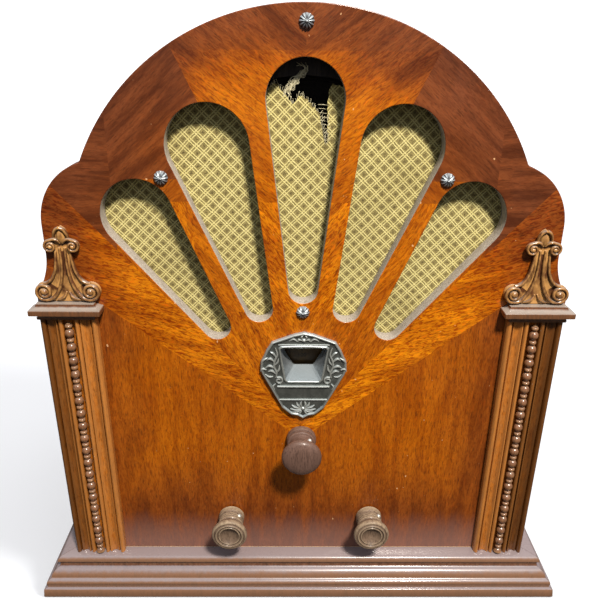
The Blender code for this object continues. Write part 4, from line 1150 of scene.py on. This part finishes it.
cloth_edge = arc(0, ARCH_Z, CLOTH_R, CLOTH_R, 0, 180, 60)
cloth_edge += [(-CLOTH_R, CLOTH_LOW), (CLOTH_R, CLOTH_LOW)]
sheet_shell = bmesh.new()
sheet_edges = []
for loop in (cloth_edge, ragged(TEAR)):
    corners_of = [sheet_shell.verts.new(world(x, CLOTH_Y, z)) for x, z in loop]
    sheet_edges += [sheet_shell.edges.new((a, b)) for a, b in zip(corners_of, corners_of[1:] + corners_of[:1])]
bmesh.ops.triangle_fill(sheet_shell, use_beauty=True, use_dissolve=False, edges=sheet_edges)
for k in range(-18, 19):
    for point, normal in ((Vector(world(k * 8, 0, 0)), Vector((1, 0, 0))),
                          (Vector(world(0, 0, ARCH_Z + k * 8)), Vector((0, 0, 1)))):
        bmesh.ops.bisect_plane(sheet_shell, geom=sheet_shell.verts[:] + sheet_shell.edges[:] + sheet_shell.faces[:],
                               dist=1e-7, plane_co=point, plane_no=normal)
for corner in sheet_shell.verts:
    x, z = corner.co.x / MM, corner.co.z / MM
    to_tear = min(math.hypot(x - tx, z - tz) for tx, tz in TEAR[:-4])
    curl_back = max(0.0, 1 - to_tear / 7) if z < 410 else 0.0
    slack = 0.10 * math.sin(x / 9) * math.cos(z / 11)
    corner.co.y += (slack - 0.30 * curl_back * math.sin(x / 2.1 + z / 3.3)) * MM
bmesh.ops.recalc_face_normals(sheet_shell, faces=sheet_shell.faces)
cloth_mesh = bpy.data.meshes.new("damask_grille_cloth")
cloth_area = sum(face.calc_area() for face in sheet_shell.faces)
sheet_shell.to_mesh(cloth_mesh)
sheet_shell.free()
print("cloth:", round(cloth_area * 1e4), "cm2")

# %% Weave of the cloth
THREAD_PITCH, THREAD_GAP, THREAD_HALF = 6.36, 0.85, 0.42


def damask(name):
    """Pale double threads on both diagonals over an olive ground, flecked with each crossing of the weave."""
    made, tree = finish(name, {"Roughness": 0.85, "Sheen Weight": 0.25, "Specular IOR Level": 0.2})
    axes = add(tree, "SeparateXYZ", add(tree, "TexCoord", out="Object")).node.outputs
    wobble = swing(tree, pattern(tree, 14, 14, 2, 0.5), 0.0016)
    strands, gaps = [], []
    for way in (PLUS, MINUS):
        slant = add(tree, "Math", add(tree, "Math", axes["X"], axes["Z"], **way), wobble, **PLUS)
        slant = add(tree, "Math", slant, 1000 / (THREAD_PITCH * math.sqrt(2)), **TIMES)
        from_line = add(tree, "Math", add(tree, "Math", add(tree, "Math", slant, **PART), 0.5, **MINUS), **SIZE)
        distance = add(tree, "Math", from_line, THREAD_PITCH, **TIMES)
        aside = add(tree, "Math", add(tree, "Math", distance, THREAD_GAP, **MINUS), **SIZE)
        strands.append(add(tree, "MapRange", aside, THREAD_HALF * 0.55, THREAD_HALF * 1.25, 1.0, 0.0, **EASED))
        gaps.append(distance)
    pale = add(tree, "Math", *strands, **MOST)
    heart = add(tree, "MapRange", add(tree, "Math", *gaps, **LEAST), 1.9, 2.9, **EASED)
    yarn = pattern(tree, 0.7, 0.7, 2, 0.6)
    ground = lay(tree, "#6a6038", "#8f8350", add(tree, "MapRange", yarn, 0.38, 0.62, **EASED))
    ground = lay(tree, ground, "#443a1f", heart, add(tree, "MapRange", yarn, 0.35, 0.6, 0.9, 0.35, **EASED))
    thread = lay(tree, "#b3a968", "#cfc589", add(tree, "MapRange", yarn, 0.35, 0.65, **EASED))
    stain = add(tree, "MapRange", pattern(tree, 35, 50, 3, 0.6), 0.45, 0.75, 0.0, 0.25, **EASED)
    colour = lay(tree, lay(tree, ground, thread, pale), "#8a7a4a", stain, blend="MULTIPLY")
    height = add(tree, "Math", pale, add(tree, "Math", yarn, 0.4, **TIMES), **PLUS)
    return dress(made, colour, None, height, 0.6, 0.4)


grille_damask = damask("aged_cotton_damask")
grille_cloth = piece("grille_cloth_stretched", cloth_mesh, grille_damask, replaces=["grille_cloth"],
                     slot="grille_fabric")
print("threads every", THREAD_PITCH, "mm")


def thread_curves(name, runs, radius, material_of):
    """Loose threads: thin round curves through a few points each."""
    curve = bpy.data.curves.new(name, "CURVE")
    curve.dimensions = "3D"
    curve.bevel_depth = radius * MM
    curve.bevel_resolution = 1
    for run in runs:
        way = smooth_path(run, 5)
        spline = curve.splines.new("POLY")
        spline.points.add(len(way) - 1)
        for point, spot in zip(spline.points, way):
            point.co = (*world(*spot), 1)
    curve.materials.append(material_of)
    made = bpy.data.objects.new(name, curve)
    bpy.context.scene.collection.objects.link(made)
    return settle(made, "cabinet", (), "grille_fabric")


# %% Loose threads
frays = []
for k, (x, z) in enumerate(ragged(TEAR, 1.5, 0.3)[:62]):
    lean = math.sin(5.3 * k)
    long = 1.2 + 1.6 * abs(math.sin(2.1 * k))
    out_x = long * (0.45 * lean + (0.8 if 9 < x < 15 and z < 395 else 0))
    frays.append([(x, CLOTH_Y, z - 0.6), (x + out_x * 0.5, CLOTH_Y - 0.25, z + long * 0.5),
                  (x + out_x, CLOTH_Y - 0.15 + 0.5 * lean, z + long)])
for k in range(26):
    a, b, c = math.sin(7.1 * k), math.cos(4.7 * k), math.sin(11.3 * k + 1)
    frays.append([(-12 + 2.6 * a, CLOTH_Y, 398.5 + 2.2 * b), (-9.5 + 2.6 * b, CLOTH_Y - 0.5, 402.5 + 1.6 * c),
                  (-6.5 + 2.4 * c, CLOTH_Y - 0.8, 406.5 + 2.0 * a), (-2.5 + 2.0 * a, CLOTH_Y - 0.6, 410.5 + 1.8 * b),
                  (0.2 + 1.6 * c, CLOTH_Y - 0.3, 414 + 1.6 * a),
                  (-3 + 3.0 * b, CLOTH_Y + 0.2, 416.5 + 1.2 * c)][:4 + k % 3])
for k in range(10):
    z = 369.0 + 2.5 * k
    slit_x = 13.6 - 0.19 * (z - 367)
    frays.append([(slit_x - 0.6, CLOTH_Y, z + 0.3), ((slit_x + 15) / 2, CLOTH_Y - 0.2, z + 0.3 * math.sin(5 * k)),
                  (15.0 - 0.9 * (k % 3), CLOTH_Y, z - 0.2)])
loose, loose_tree = finish("loose_cotton_thread", {"Roughness": 0.9, "Sheen Weight": 0.3})
fuzz = pattern(loose_tree, 1.2, 1.2, 2, 0.6)
dress(loose, add(loose_tree, "ValToRGB", fuzz, stops=((0.35, "#8b8463"), (0.65, "#cfc9a8"))))
fray_piece = thread_curves("torn_cloth_threads", frays, 0.16, loose)
print(len(frays), "loose threads")

# %% [markdown]
# ## Finishes of the works
# Behind the board everything is plain factory work: plated and spun metal, black enamel, moulded bakelite,
# rubber, glass and paper. One function makes the metals, since they differ only in colour, in how the
# tool marks run and in how far they have tarnished. Tool marks are drawn 0.6 mm apart, coarser than they are.

# %% Metals, mouldings and paper
def metal(name, colour, tarnish, roughness, marks=(0.6, 14), tarnished=0.45):
    """marks is the spacing and the length of the tool marks, in mm; tarnished is how much has dulled."""
    made, tree = finish(name, {"Metallic": 1.0})
    scratched = pattern(tree, *marks, 3, 0.6)
    dull = add(tree, "MapRange", pattern(tree, 18, 22, 4, 0.65), 0.42, 0.72, 0.0, tarnished, **EASED)
    marked = lay(tree, colour, tarnish, add(tree, "MapRange", scratched, 0.3, 0.7, 0.0, 0.35, **EASED))
    uneven = add(tree, "Math", dull, add(tree, "Math", scratched, 0.3, **TIMES), **PLUS)
    rough = add(tree, "MapRange", uneven, 0.0, 0.8, roughness, roughness + 0.25, **EASED)
    return dress(made, lay(tree, marked, tarnish, dull), rough, scratched, 0.15)


def moulded(name, light, dark, roughness, grain=2.0, coat=0.0, lumps=0.2):
    """Anything mottled and not metal: enamel, bakelite, rubber, pressed paper, celluloid or mica."""
    made, tree = finish(name, {"Coat Weight": coat, "Coat Roughness": 0.2})
    mottle = pattern(tree, grain, grain, 4, 0.65)
    colour = lay(tree, dark, light, add(tree, "MapRange", mottle, 0.34, 0.66, **EASED))
    dust = add(tree, "MapRange", pattern(tree, 12, 12, 3, 0.6), 0.3, 0.7, roughness, roughness + 0.18, **EASED)
    return dress(made, colour, dust, mottle, lumps, 0.3)


def clear_glass(name, tint):
    made, tree = finish(name, {"Base Color": tint, "Transmission Weight": 1.0, "IOR": 1.5})
    smear = add(tree, "MapRange", pattern(tree, 9, 16, 3, 0.6), 0.4, 0.8, 0.02, 0.12, **EASED)
    return dress(made, roughness=smear)


chassis_steel = metal("cadmium_plated_sheet_steel", "#9c9d98", "#6d665a", 0.42, (1.2, 30), 0.6)
spun_can = metal("spun_aluminium_can", "#b9bbba", "#86867f", 0.30, (9, 0.6), 0.35)
gang_plate = metal("rolled_aluminium_plate", "#b5b7b4", "#8c8c84", 0.34)
bright_steel = metal("plated_steel_rod", "#a9a69c", "#6e675b", 0.30)
drawn_brass = metal("tarnished_drawn_brass", "#b5924d", "#6f5427", 0.32, (0.6, 10), 0.55)
silvering = metal("getter_silvering", "#c9cbcc", "#6b6862", 0.12, (3, 3), 0.5)
anode_nickel = metal("carbonised_nickel_anode", "#4c4b49", "#2a2928", 0.55, (1.0, 8), 0.5)
enamel = moulded("black_stoved_enamel", "#24231f", "#141312", 0.32, 3.0, 0.3, 0.12)
bakelite = moulded("brown_moulded_bakelite", "#33211a", "#1c120d", 0.26, 1.4, 0.4, 0.05)
rubber = moulded("perished_black_rubber", "#2c2a28", "#1b1a19", 0.72, 1.2, 0.0, 0.4)
# The cone is dark paper, made near-black so that it also stands in for the shade in the hole: partly painted shade.
cone_paper = moulded("cone_paper_darkened_as_shade", "#2e2822", "#1b1713", 0.85, 1.1, 0.0, 0.5)
# The dial film is made darker than its own amber, as painted shade inside the window.
celluloid = moulded("amber_celluloid_darkened_as_shade", "#4e3a18", "#37280f", 0.30, 8.0, 0.4, 0.02)
mica = moulded("split_mica", "#b9b39c", "#8f8975", 0.25, 3.0, 0.3, 0.05)
insulation = moulded("waxed_kraft_paper", "#9a7a4c", "#7a5d36", 0.6, 2.5, 0.1, 0.2)
# The board's near-black stands in for the shade behind the cloth: painted shade.
baffle_painted_shade = wood("near_black_plywood_painted_shade", "#2b2520", "#1d1815", "#0f0d0b", 0.7, 0.0)
bulb_glass = clear_glass("dial_bulb_glass", "#f4f4ee")
tube_glass = clear_glass("tube_envelope_glass", "#eef1ec")
print("metals and mouldings ready")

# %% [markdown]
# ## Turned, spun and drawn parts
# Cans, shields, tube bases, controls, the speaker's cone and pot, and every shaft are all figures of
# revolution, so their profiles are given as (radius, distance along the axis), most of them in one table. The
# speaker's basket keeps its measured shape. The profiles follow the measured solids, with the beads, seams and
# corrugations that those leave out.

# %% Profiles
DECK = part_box("chassis")[1][2] / MM
FOOT = DECK + 0.3
GANG_Z = middle("drive_disc")[2]
SPEAKER_Z = middle("speaker_basket")[2]


def rounded(profile, steps):
    """Rounds a profile a little by running a smooth curve through it and keeping its ends."""
    return [(max(r, 0.0), h) for r, h in smooth_path(profile, steps)]


def can_profile(radius, height, rib):
    """A drawn can: its foot flange, a rolled groove at the height of rib, and a rounded, dished top."""
    r, top = radius, DECK + height
    return [(0, FOOT), (r + 2.5, FOOT), (r + 2.5, FOOT + 1.2), (r + 0.6, FOOT + 1.8), (r, FOOT + 2.6), (r, rib - 2),
            (r - 0.6, rib - 1.2), (r - 0.6, rib + 1.2), (r, rib + 2), (r, top - 4), (r - 0.6, top - 2.2),
            (r - 1.8, top - 0.8), (r - 4, top), (r - 5.5, top - 0.9), (0, top - 0.9)]


def cone_profile():
    """The paper cone: a straight flare with a corrugated edge, 0.8 mm thick."""
    front = [(0, 57.0), (6, 57.6), (11.4, 60.0), (12.8, 61.0), (82.0, 29.9)]
    for k in range(8):
        front.append((82.8 + 0.9 * k, 28.9 + 0.35 * (-1) ** k))
    front += [(90.2, 28.2)]
    back = [(r, h + 0.8) for r, h in front[:3:-1]] + [(15, 62), (15, 79), (14, 79), (14, 62.4), (0, 58.4)]
    return front + back


BUSH = [(0, 46), (3.3, 46), (3.3, 24), (4.6, 24), (4.6, 30.4), (7.4, 30.6), (7.4, 33.4), (4.6, 33.6), (4.6, 35.9)]
turned_parts = [
    *[(f"coil_shield_{side}", f"coil_can_{side}", can_profile(18, 76, 128), 64, "Z", spun_can, "can_aluminium")
      for side in ("left", "right")],
    *[(f"filter_capacitor_{end}", f"filter_can_{end}", can_profile(17, 84, 122), 64, "Z", spun_can, "can_aluminium")
      for end in ("front", "back")],
    ("volume_potentiometer", "volume_control",
     BUSH + [(16.8, 35.9), (17.6, 36.4), (18, 37.4), (18, 49.4), (17.6, 50.6), (16.4, 51), (12, 51), (11.4, 50.2),
             (0, 50.2)], 56, "Y", chassis_steel, "plated_steel"),
    ("tone_switch_body", "tone_switch",
     BUSH + [(14.0, 35.9), (15, 36.8), (15, 42), (14.2, 42.6), (14.2, 44), (15, 44.6), (15, 54), (14.2, 55),
             (0, 55)], 56, "Y", bakelite, "tube_base_bakelite"),
    ("loudspeaker_pot", "field_coil_pot",
     [(0, 72), (12.4, 72), (12.4, 86), (16.6, 86), (16.6, 78.6), (36.8, 78.6), (38, 79.6), (38, 90), (37.4, 90.8),
      (37.4, 124), (38, 124.8), (38, 134), (37.2, 136), (35, 137), (9, 137), (8, 136), (0, 136)],
     72, "Y", enamel, "black_enamel"),
    ("lead_grommet_ring", "lead_grommet",
     rounded([(4, 210.6), (6, 210.4), (9.0, 210.5), (9.5, 211.3), (9.0, 212.1), (6.7, 212.3), (6.7, 214.2),
              (9.0, 214.4), (9.5, 215.2), (9.0, 215.9), (6, 216), (4, 215.8), (3.9, 213.2), (4, 210.6)], 3)[:-1],
     40, "Y", rubber, "grommet_rubber"),
]
for name, node, profile, steps, axis, finish_of, slot in turned_parts:
    x, y, z = middle(node)
    centre = (x, z) if axis == "Y" else (x, y)
    piece(name, lathe(profile, steps, centre, axis), finish_of, replaces=[node], slot=slot, crease=32)
shield_profile = [
    (0, FOOT), (22.5, FOOT), (22.5, FOOT + 1.6), (20.6, FOOT + 2.2), (20, FOOT + 3), (20, 150), (19.4, 150.8),
    (19.4, 152.6), (20, 153.4), (20, 177.4), (19.4, 179.6), (18.4, 181.2), (18, 182.4), (18, 197), (17.4, 200),
    (15.6, 203), (12.6, 204.8), (8.2, 205.3), (7.2, 205.9), (7, 207), (7, 211), (6.2, 212), (0, 212)]
for name in ("front", "back"):
    x, y, _ = middle(f"tube_shield_{name}")
    piece(f"shield_can_{name}", lathe(shield_profile, 56, (x, y), "Z"), spun_can, replaces=[f"tube_shield_{name}"],
          slot="can_aluminium", crease=32)
piece("paper_cone", lathe(cone_profile(), 96, (0, SPEAKER_Z)), cone_paper, "cone", ["speaker_cone"], "cone_paper", 30)
print(len(turned_parts) + 3, "turned parts")

# %% Shafts and drive
ROD_R = 3.175
plain_rod = [(0, -16.7), (2.8, -16.7), (ROD_R, -16.3), (ROD_R, 45.1), (2.8, 45.5), (0, 45.5)]
grooved_rod = [
    (0, -21.7), (3.0, -21.7), (ROD_R, -21.4), (ROD_R, 15.1), (5.9, 15.1), (6.2, 15.4), (6.2, 16.1), (4.0, 16.4),
    (3.7, 16.7), (3.7, 17.7), (4.0, 18.0), (6.2, 18.3), (6.2, 19.0), (5.9, 19.3), (ROD_R, 19.3), (ROD_R, 38.8),
    (4.8, 38.8), (5, 39.1), (5, 40.1), (4.8, 40.4), (0, 40.4)]
for name, profile, finish_of, slot in (("tuning", grooved_rod, drawn_brass, "brass"),
                                       ("volume", plain_rod, bright_steel, "plated_steel"),
                                       ("tone", plain_rod, bright_steel, "plated_steel")):
    x, _, z = middle(f"{name}_shaft")
    piece(f"{name}_spindle", lathe(profile, 40, (x, z)), finish_of, f"{name}_knob", [f"{name}_shaft"], slot, 30)
print("shafts:", 2 * ROD_R, "mm across")

# %% [markdown]
# ## Dial
# The dial is a celluloid disc lit from behind, clamped to a brass disc that the tuning shaft grips at its rim.
# Numbers 0 to 100 run round half of it. They are the only characters on the set, made as flat
# text and turned to mesh, just proud of the celluloid. Dial, brass disc and rotor are one body.

# %% Celluloid scale with its graduations
DIAL_START, DIAL_SWEEP, MARKS, MARK_R, NUMBER_R, NUMBERS = 270, 180, 51, 33.6, 26.2, 6
film_profile = [(4.4, 14.0), (35.0, 14.0), (35.2, 14.2), (35.2, 14.6), (35.0, 14.8), (4.4, 14.8)]
piece("dial_film", lathe(film_profile, 96, (0, GANG_Z)), celluloid, "tuning_gang", ["dial_scale"], "dial_film", 30)
ink = moulded("black_printing_ink", "#16130f", "#0c0a08", 0.5, 1.0, 0.0, 0.02)
marks = []
for k in range(MARKS):
    a = math.radians(DIAL_START - DIAL_SWEEP / (MARKS - 1) * k)
    long, wide = (4.5, 0.32) if k % 5 == 0 else (2.4, 0.18)
    c, s, foot_r = math.cos(a), math.sin(a), MARK_R - long
    corners = ((MARK_R, -wide), (MARK_R, wide), (foot_r, wide), (foot_r, -wide))
    marks.append(skin([[(r * c - w * s, y, GANG_Z + r * s + w * c) for r, w in corners] for y in (13.86, 13.98)]))
piece("dial_graduations", together(*marks), ink, "tuning_gang", slot="dial_film", crease=30)
for k in range(NUMBERS):
    a = math.radians(DIAL_START - DIAL_SWEEP / (NUMBERS - 1) * k)
    words = bpy.data.curves.new(f"dial_number_{20 * k}", "FONT")
    words.body = str(20 * k)
    words.size = 4.6 * MM
    words.extrude = 0.05 * MM
    words.align_x, words.align_y = "CENTER", "CENTER"
    guide = bpy.data.objects.new("dial_number_guide", words)
    bpy.context.scene.collection.objects.link(guide)
    number_mesh = bpy.data.meshes.new_from_object(guide.evaluated_get(bpy.context.evaluated_depsgraph_get()))
    bpy.data.objects.remove(guide)
    spot = Vector(world(NUMBER_R * math.cos(a), 13.92, GANG_Z + NUMBER_R * math.sin(a)))
    number_mesh.transform(Matrix.Translation(spot) @ Matrix.Rotation(math.radians(90) - a, 4, "Y")
                          @ Matrix.Rotation(math.radians(90), 4, "X"))
    piece(f"dial_number_{20 * k}", number_mesh, ink, "tuning_gang", slot="dial_film")
print("dial:", len(marks), "marks and", NUMBERS, "numbers")

# %% Dial lamp
LAMP_Z = 211
bulb_profile = rounded([(0, 20.6), (2.6, 21.2), (4.6, 23.4), (5.1, 26), (4.6, 28.8), (4.2, 32.7)], 5)
bulb_inside = [(max(r - 0.5, 0), h + (0.5 if h < 22 else 0)) for r, h in reversed(bulb_profile)]
piece("dial_bulb", lathe(bulb_profile + bulb_inside, 40, (0, LAMP_Z)), bulb_glass, replaces=["dial_lamp"],
      slot="lamp_glass", crease=60)
filament = stroke([(-1.4, 27.5, 210.4), (-0.7, 25.4, 211.6), (0, 25.2, 210.8), (0.7, 25.4, 211.6),
                   (1.4, 27.5, 210.4)], 0.12, 1, 6)
lamp_posts = [lathe([(0, 27), (0.2, 27.2), (0.2, 33), (0, 33)], 8, (x, 210.6)) for x in (-1.4, 1.4)]
piece("dial_bulb_filament", together(filament, *lamp_posts), bright_steel, slot="plated_steel")
print("lamp:", round(2 * max(r for r, _ in bulb_profile), 1), "mm across")

# %% [markdown]
# ## Vacuum tubes
# Each tube is a shouldered glass bulb cemented into a bakelite base. The glass is a thin shell, so that it
# refracts like a bottle and not like a lens. Inside stand the dark anode, its mica spacers and support wires,
# and the top of the bulb is silvered where the getter was fired.

# %% Tubes
GLASS = [(15.4, 0), (15.6, 3), (16.6, 7), (18.5, 12), (20.6, 17), (22, 22), (22.7, 27), (22.7, 31), (22.2, 36),
         (20.8, 41), (18.2, 45.6), (16.0, 49.6), (14.7, 54), (14.3, 60), (14.2, 66), (13.2, 70.6), (11.2, 74),
         (8.2, 76.8), (4.4, 78.2), (0, 78.6)]
GLASS_THICK = 0.9
BASE_TOP_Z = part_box("output_tube_base")[1][2] / MM


def flat_oval(angle, radius, along):
    return radius * (0.62 + 0.38 * abs(math.cos(angle))), along


for name, scale in (("rectifier", 1.06), ("output", 1.0), ("detector", 0.92)):
    x, y, _ = middle(f"{name}_tube_base")
    outer = [(r * (1 if h < 4 else scale), BASE_TOP_Z + 0.3 + h * scale) for r, h in GLASS]
    inner = [(max(r - GLASS_THICK, 0), min(h, outer[-1][1] - GLASS_THICK)) for r, h in reversed(outer)]
    piece(f"{name}_envelope", lathe(outer + inner, 56, (x, y), "Z"), tube_glass,
          replaces=[f"{name}_tube_glass"], slot="tube_glass", crease=60)
    getter = [(r - 1.0, h - 0.6) for r, h in outer[-7:-1]] + [(0, outer[-1][1] - 1.5)]
    getter += [(max(r - 0.3, 0), h - 0.3) for r, h in reversed(getter)]
    piece(f"{name}_getter", lathe(getter, 48, (x, y), "Z"), silvering, slot="tube_glass", crease=60)
    mid = BASE_TOP_Z + 8 * scale
    anode = lathe([(r, mid + h) for r, h in ((0, 6), (9.2, 6), (9.8, 7), (9.8, 18), (10.4, 19), (10.4, 20), (9.8, 21),
                                             (9.8, 33), (9.2, 34), (0, 34))], 40, (x, y), "Z", flat_oval)
    post = [(r, h) for h, pair in ((BASE_TOP_Z + 2, (0, 0.7)), (mid + 52 * scale, (0.7, 0))) for r in pair]
    posts = [lathe(post, 10, (x + u, y + v), "Z") for u, v in ((-8.5, 0), (8.5, 0), (0, -5), (0, 5))]
    pinch = lathe([(r, BASE_TOP_Z + h) for r, h in ((0, 1), (9, 1), (8, 9), (0, 11))], 32, (x, y), "Z", flat_oval)
    piece(f"{name}_electrodes", together(anode, *posts, pinch), anode_nickel, slot="plated_steel", crease=40)
    spacers = [lathe([(0, h), (12.6, h), (12.6, h + 0.5), (0, h + 0.5)], 32, (x, y), "Z")
               for h in (mid + 4.8, mid + 34.8)]
    piece(f"{name}_mica_spacers", together(*spacers), mica, slot="tube_glass", crease=40)
    socket = [(r, FOOT + h) for r, h in ((0, 0), (21.5, 0), (21.5, 1.6), (20.8, 2), (17.4, 2), (17.4, 7.4), (17.0, 8),
                                         (16.4, 8.2), (16.2, 8.8))]
    socket += [(r, BASE_TOP_Z - h) for r, h in ((16.2, 6), (16.6, 5), (16.6, 2.6), (16.2, 1.8), (16.0, 0.4),
                                                (15.4, 0), (0, 0))]
    piece(f"{name}_base_moulding", lathe(socket, 56, (x, y), "Z"), bakelite, replaces=[f"{name}_tube_base"],
          slot="tube_base_bakelite", crease=32)
print("three tubes")

# %% [markdown]
# ## Transformers
# A transformer is a stack of thin steel stampings clamped by bolts, with a coil through it. The power
# transformer hides its coil under pressed, enamelled shells with round corners. The small output transformer
# on the loudspeaker is bare, so its paper-covered coil and the edges of the stampings show.

# %% Rounded shells, stacks and bolts
def rounded_ring(x0, x1, y0, y1, z, corner, steps=6):
    """A level rectangle with round corners."""
    x0, x1, y0, y1 = x0 + corner, x1 - corner, y0 + corner, y1 - corner
    ring = []
    for cx, cy, start in ((x1, y1, 0), (x0, y1, 90), (x0, y0, 180), (x1, y0, 270)):
        ring += [(x, y, z) for x, y in arc(cx, cy, corner, corner, start, start + 90, steps)]
    return ring


def laminations(name):
    """Edges of steel stampings, 0.5 mm thick in life; drawn 1.2 mm apart so that they can be seen."""
    made, tree = finish(name, {"Metallic": 0.8, "Roughness": 0.5})
    height = add(tree, "SeparateXYZ", add(tree, "TexCoord", out="Object"), out="Z")
    share = add(tree, "Math", add(tree, "Math", height, 1000 / 1.2, **TIMES), **PART)
    line = add(tree, "Math", add(tree, "Math", share, 0.5, **MINUS), **SIZE)
    colour = lay(tree, "#4d4a46", "#1b1a19", add(tree, "MapRange", line, 0.34, 0.46, **EASED))
    rust = add(tree, "MapRange", pattern(tree, 5, 3, 3, 0.6), 0.5, 0.75, 0.0, 0.7, **EASED)
    return dress(made, lay(tree, colour, "#5e3a22", rust), None, line, 0.5, 0.3)


stampings = laminations("stacked_steel_laminations")
low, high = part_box("power_transformer")
px0, px1 = low[0] / MM, high[0] / MM
py0, py1 = (low[1] - FRONT_Y) / MM, (high[1] - FRONT_Y) / MM
stack = skin([rounded_ring(px0, px1, py0, py1, z, 1.2, 3) for z in (134.0, 168.0)])
piece("power_transformer_stack", stack, stampings, replaces=["power_transformer"], slot="black_enamel", crease=30)


def bell(levels):
    return skin([rounded_ring(px0 + i, px1 - i, py0 + i, py1 - i, z, c) for i, z, c in levels])


upper_bell = bell(((0.4, 168.1, 2.5), (0.4, 169.4, 2.5), (4.2, 170.4, 6), (5, 172, 7), (5, 180, 8), (5.6, 183, 9),
                   (7.4, 185.6, 10), (10.5, 187.1, 10), (14, 187.5, 10)))
lower_bell = bell(((5, FOOT, 7), (5, 131, 7), (4.2, 132.4, 6), (0.4, 133.0, 2.5), (0.4, 133.9, 2.5)))
bolts = [lathe([(0, 172.6), (2.2, 172.6), (2.9, 171.8), (2.9, 169.6), (0, 169.6)], 6, (px0 + a, py0 + b), "Z")
         for a in (4.4, px1 - px0 - 4.4) for b in (4.4, py1 - py0 - 4.4)]
piece("power_transformer_bells", together(upper_bell, lower_bell), enamel, slot="black_enamel", crease=35)
piece("power_transformer_bolts", together(*bolts), bright_steel, slot="plated_steel", crease=25)
low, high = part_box("output_transformer")
core = [block((-26, 92, 366.3), (26, 112, 369.6), 0.4), block((-26, 92, 400.6), (26, 112, 404), 0.4),
        block((-26, 92, 366.3), (-17.6, 112, 404), 0.4), block((17.6, 92, 366.3), (26, 112, 404), 0.4)]
feet = [block((s - 2, 96, SPEAKER_Z + 38.3), (s + 2, 108, 367), 0.3) for s in (-24, 24)]
winding = skin([rounded_ring(-17, 17, 84, 120, z, 5) for z in (371.4, 372.0, 398.0, 398.6)])
piece("output_transformer_core", together(*core, *feet), stampings, replaces=["output_transformer"],
      slot="black_enamel", crease=30)
piece("output_transformer_coil", winding, insulation, slot="black_enamel", crease=40)
print("transformers:", round(px1 - px0), "mm wide and", round((high[0] - low[0]) / MM), "mm wide")

# %% [markdown]
# ## Measured parts that keep their own shape
# Sheet-metal and board parts are already right as measured, because the real ones are just as plain: the
# folded chassis, the tuning gang's frame and vanes, the brackets, the boards. They only take a finish.

# %% Finishes on the measured parts
kept = {
    "base_board": bare_ply, "speaker_baffle": baffle_painted_shade, "chassis": chassis_steel,
    "tuning_bracket": chassis_steel, "condenser_frame": gang_plate, "condenser_rotor": gang_plate,
    "condenser_stator": gang_plate, "drive_disc": drawn_brass, "lamp_bracket": drawn_brass,
    "speaker_basket": enamel,
}
for node, finish_of in kept.items():
    mesh = frame["nodes"][node].data
    mesh.materials.clear()
    mesh.materials.append(finish_of)
    mesh.shade_smooth()
    mesh.set_sharp_from_angle(angle=math.radians(32))
print("kept:", ", ".join(kept))
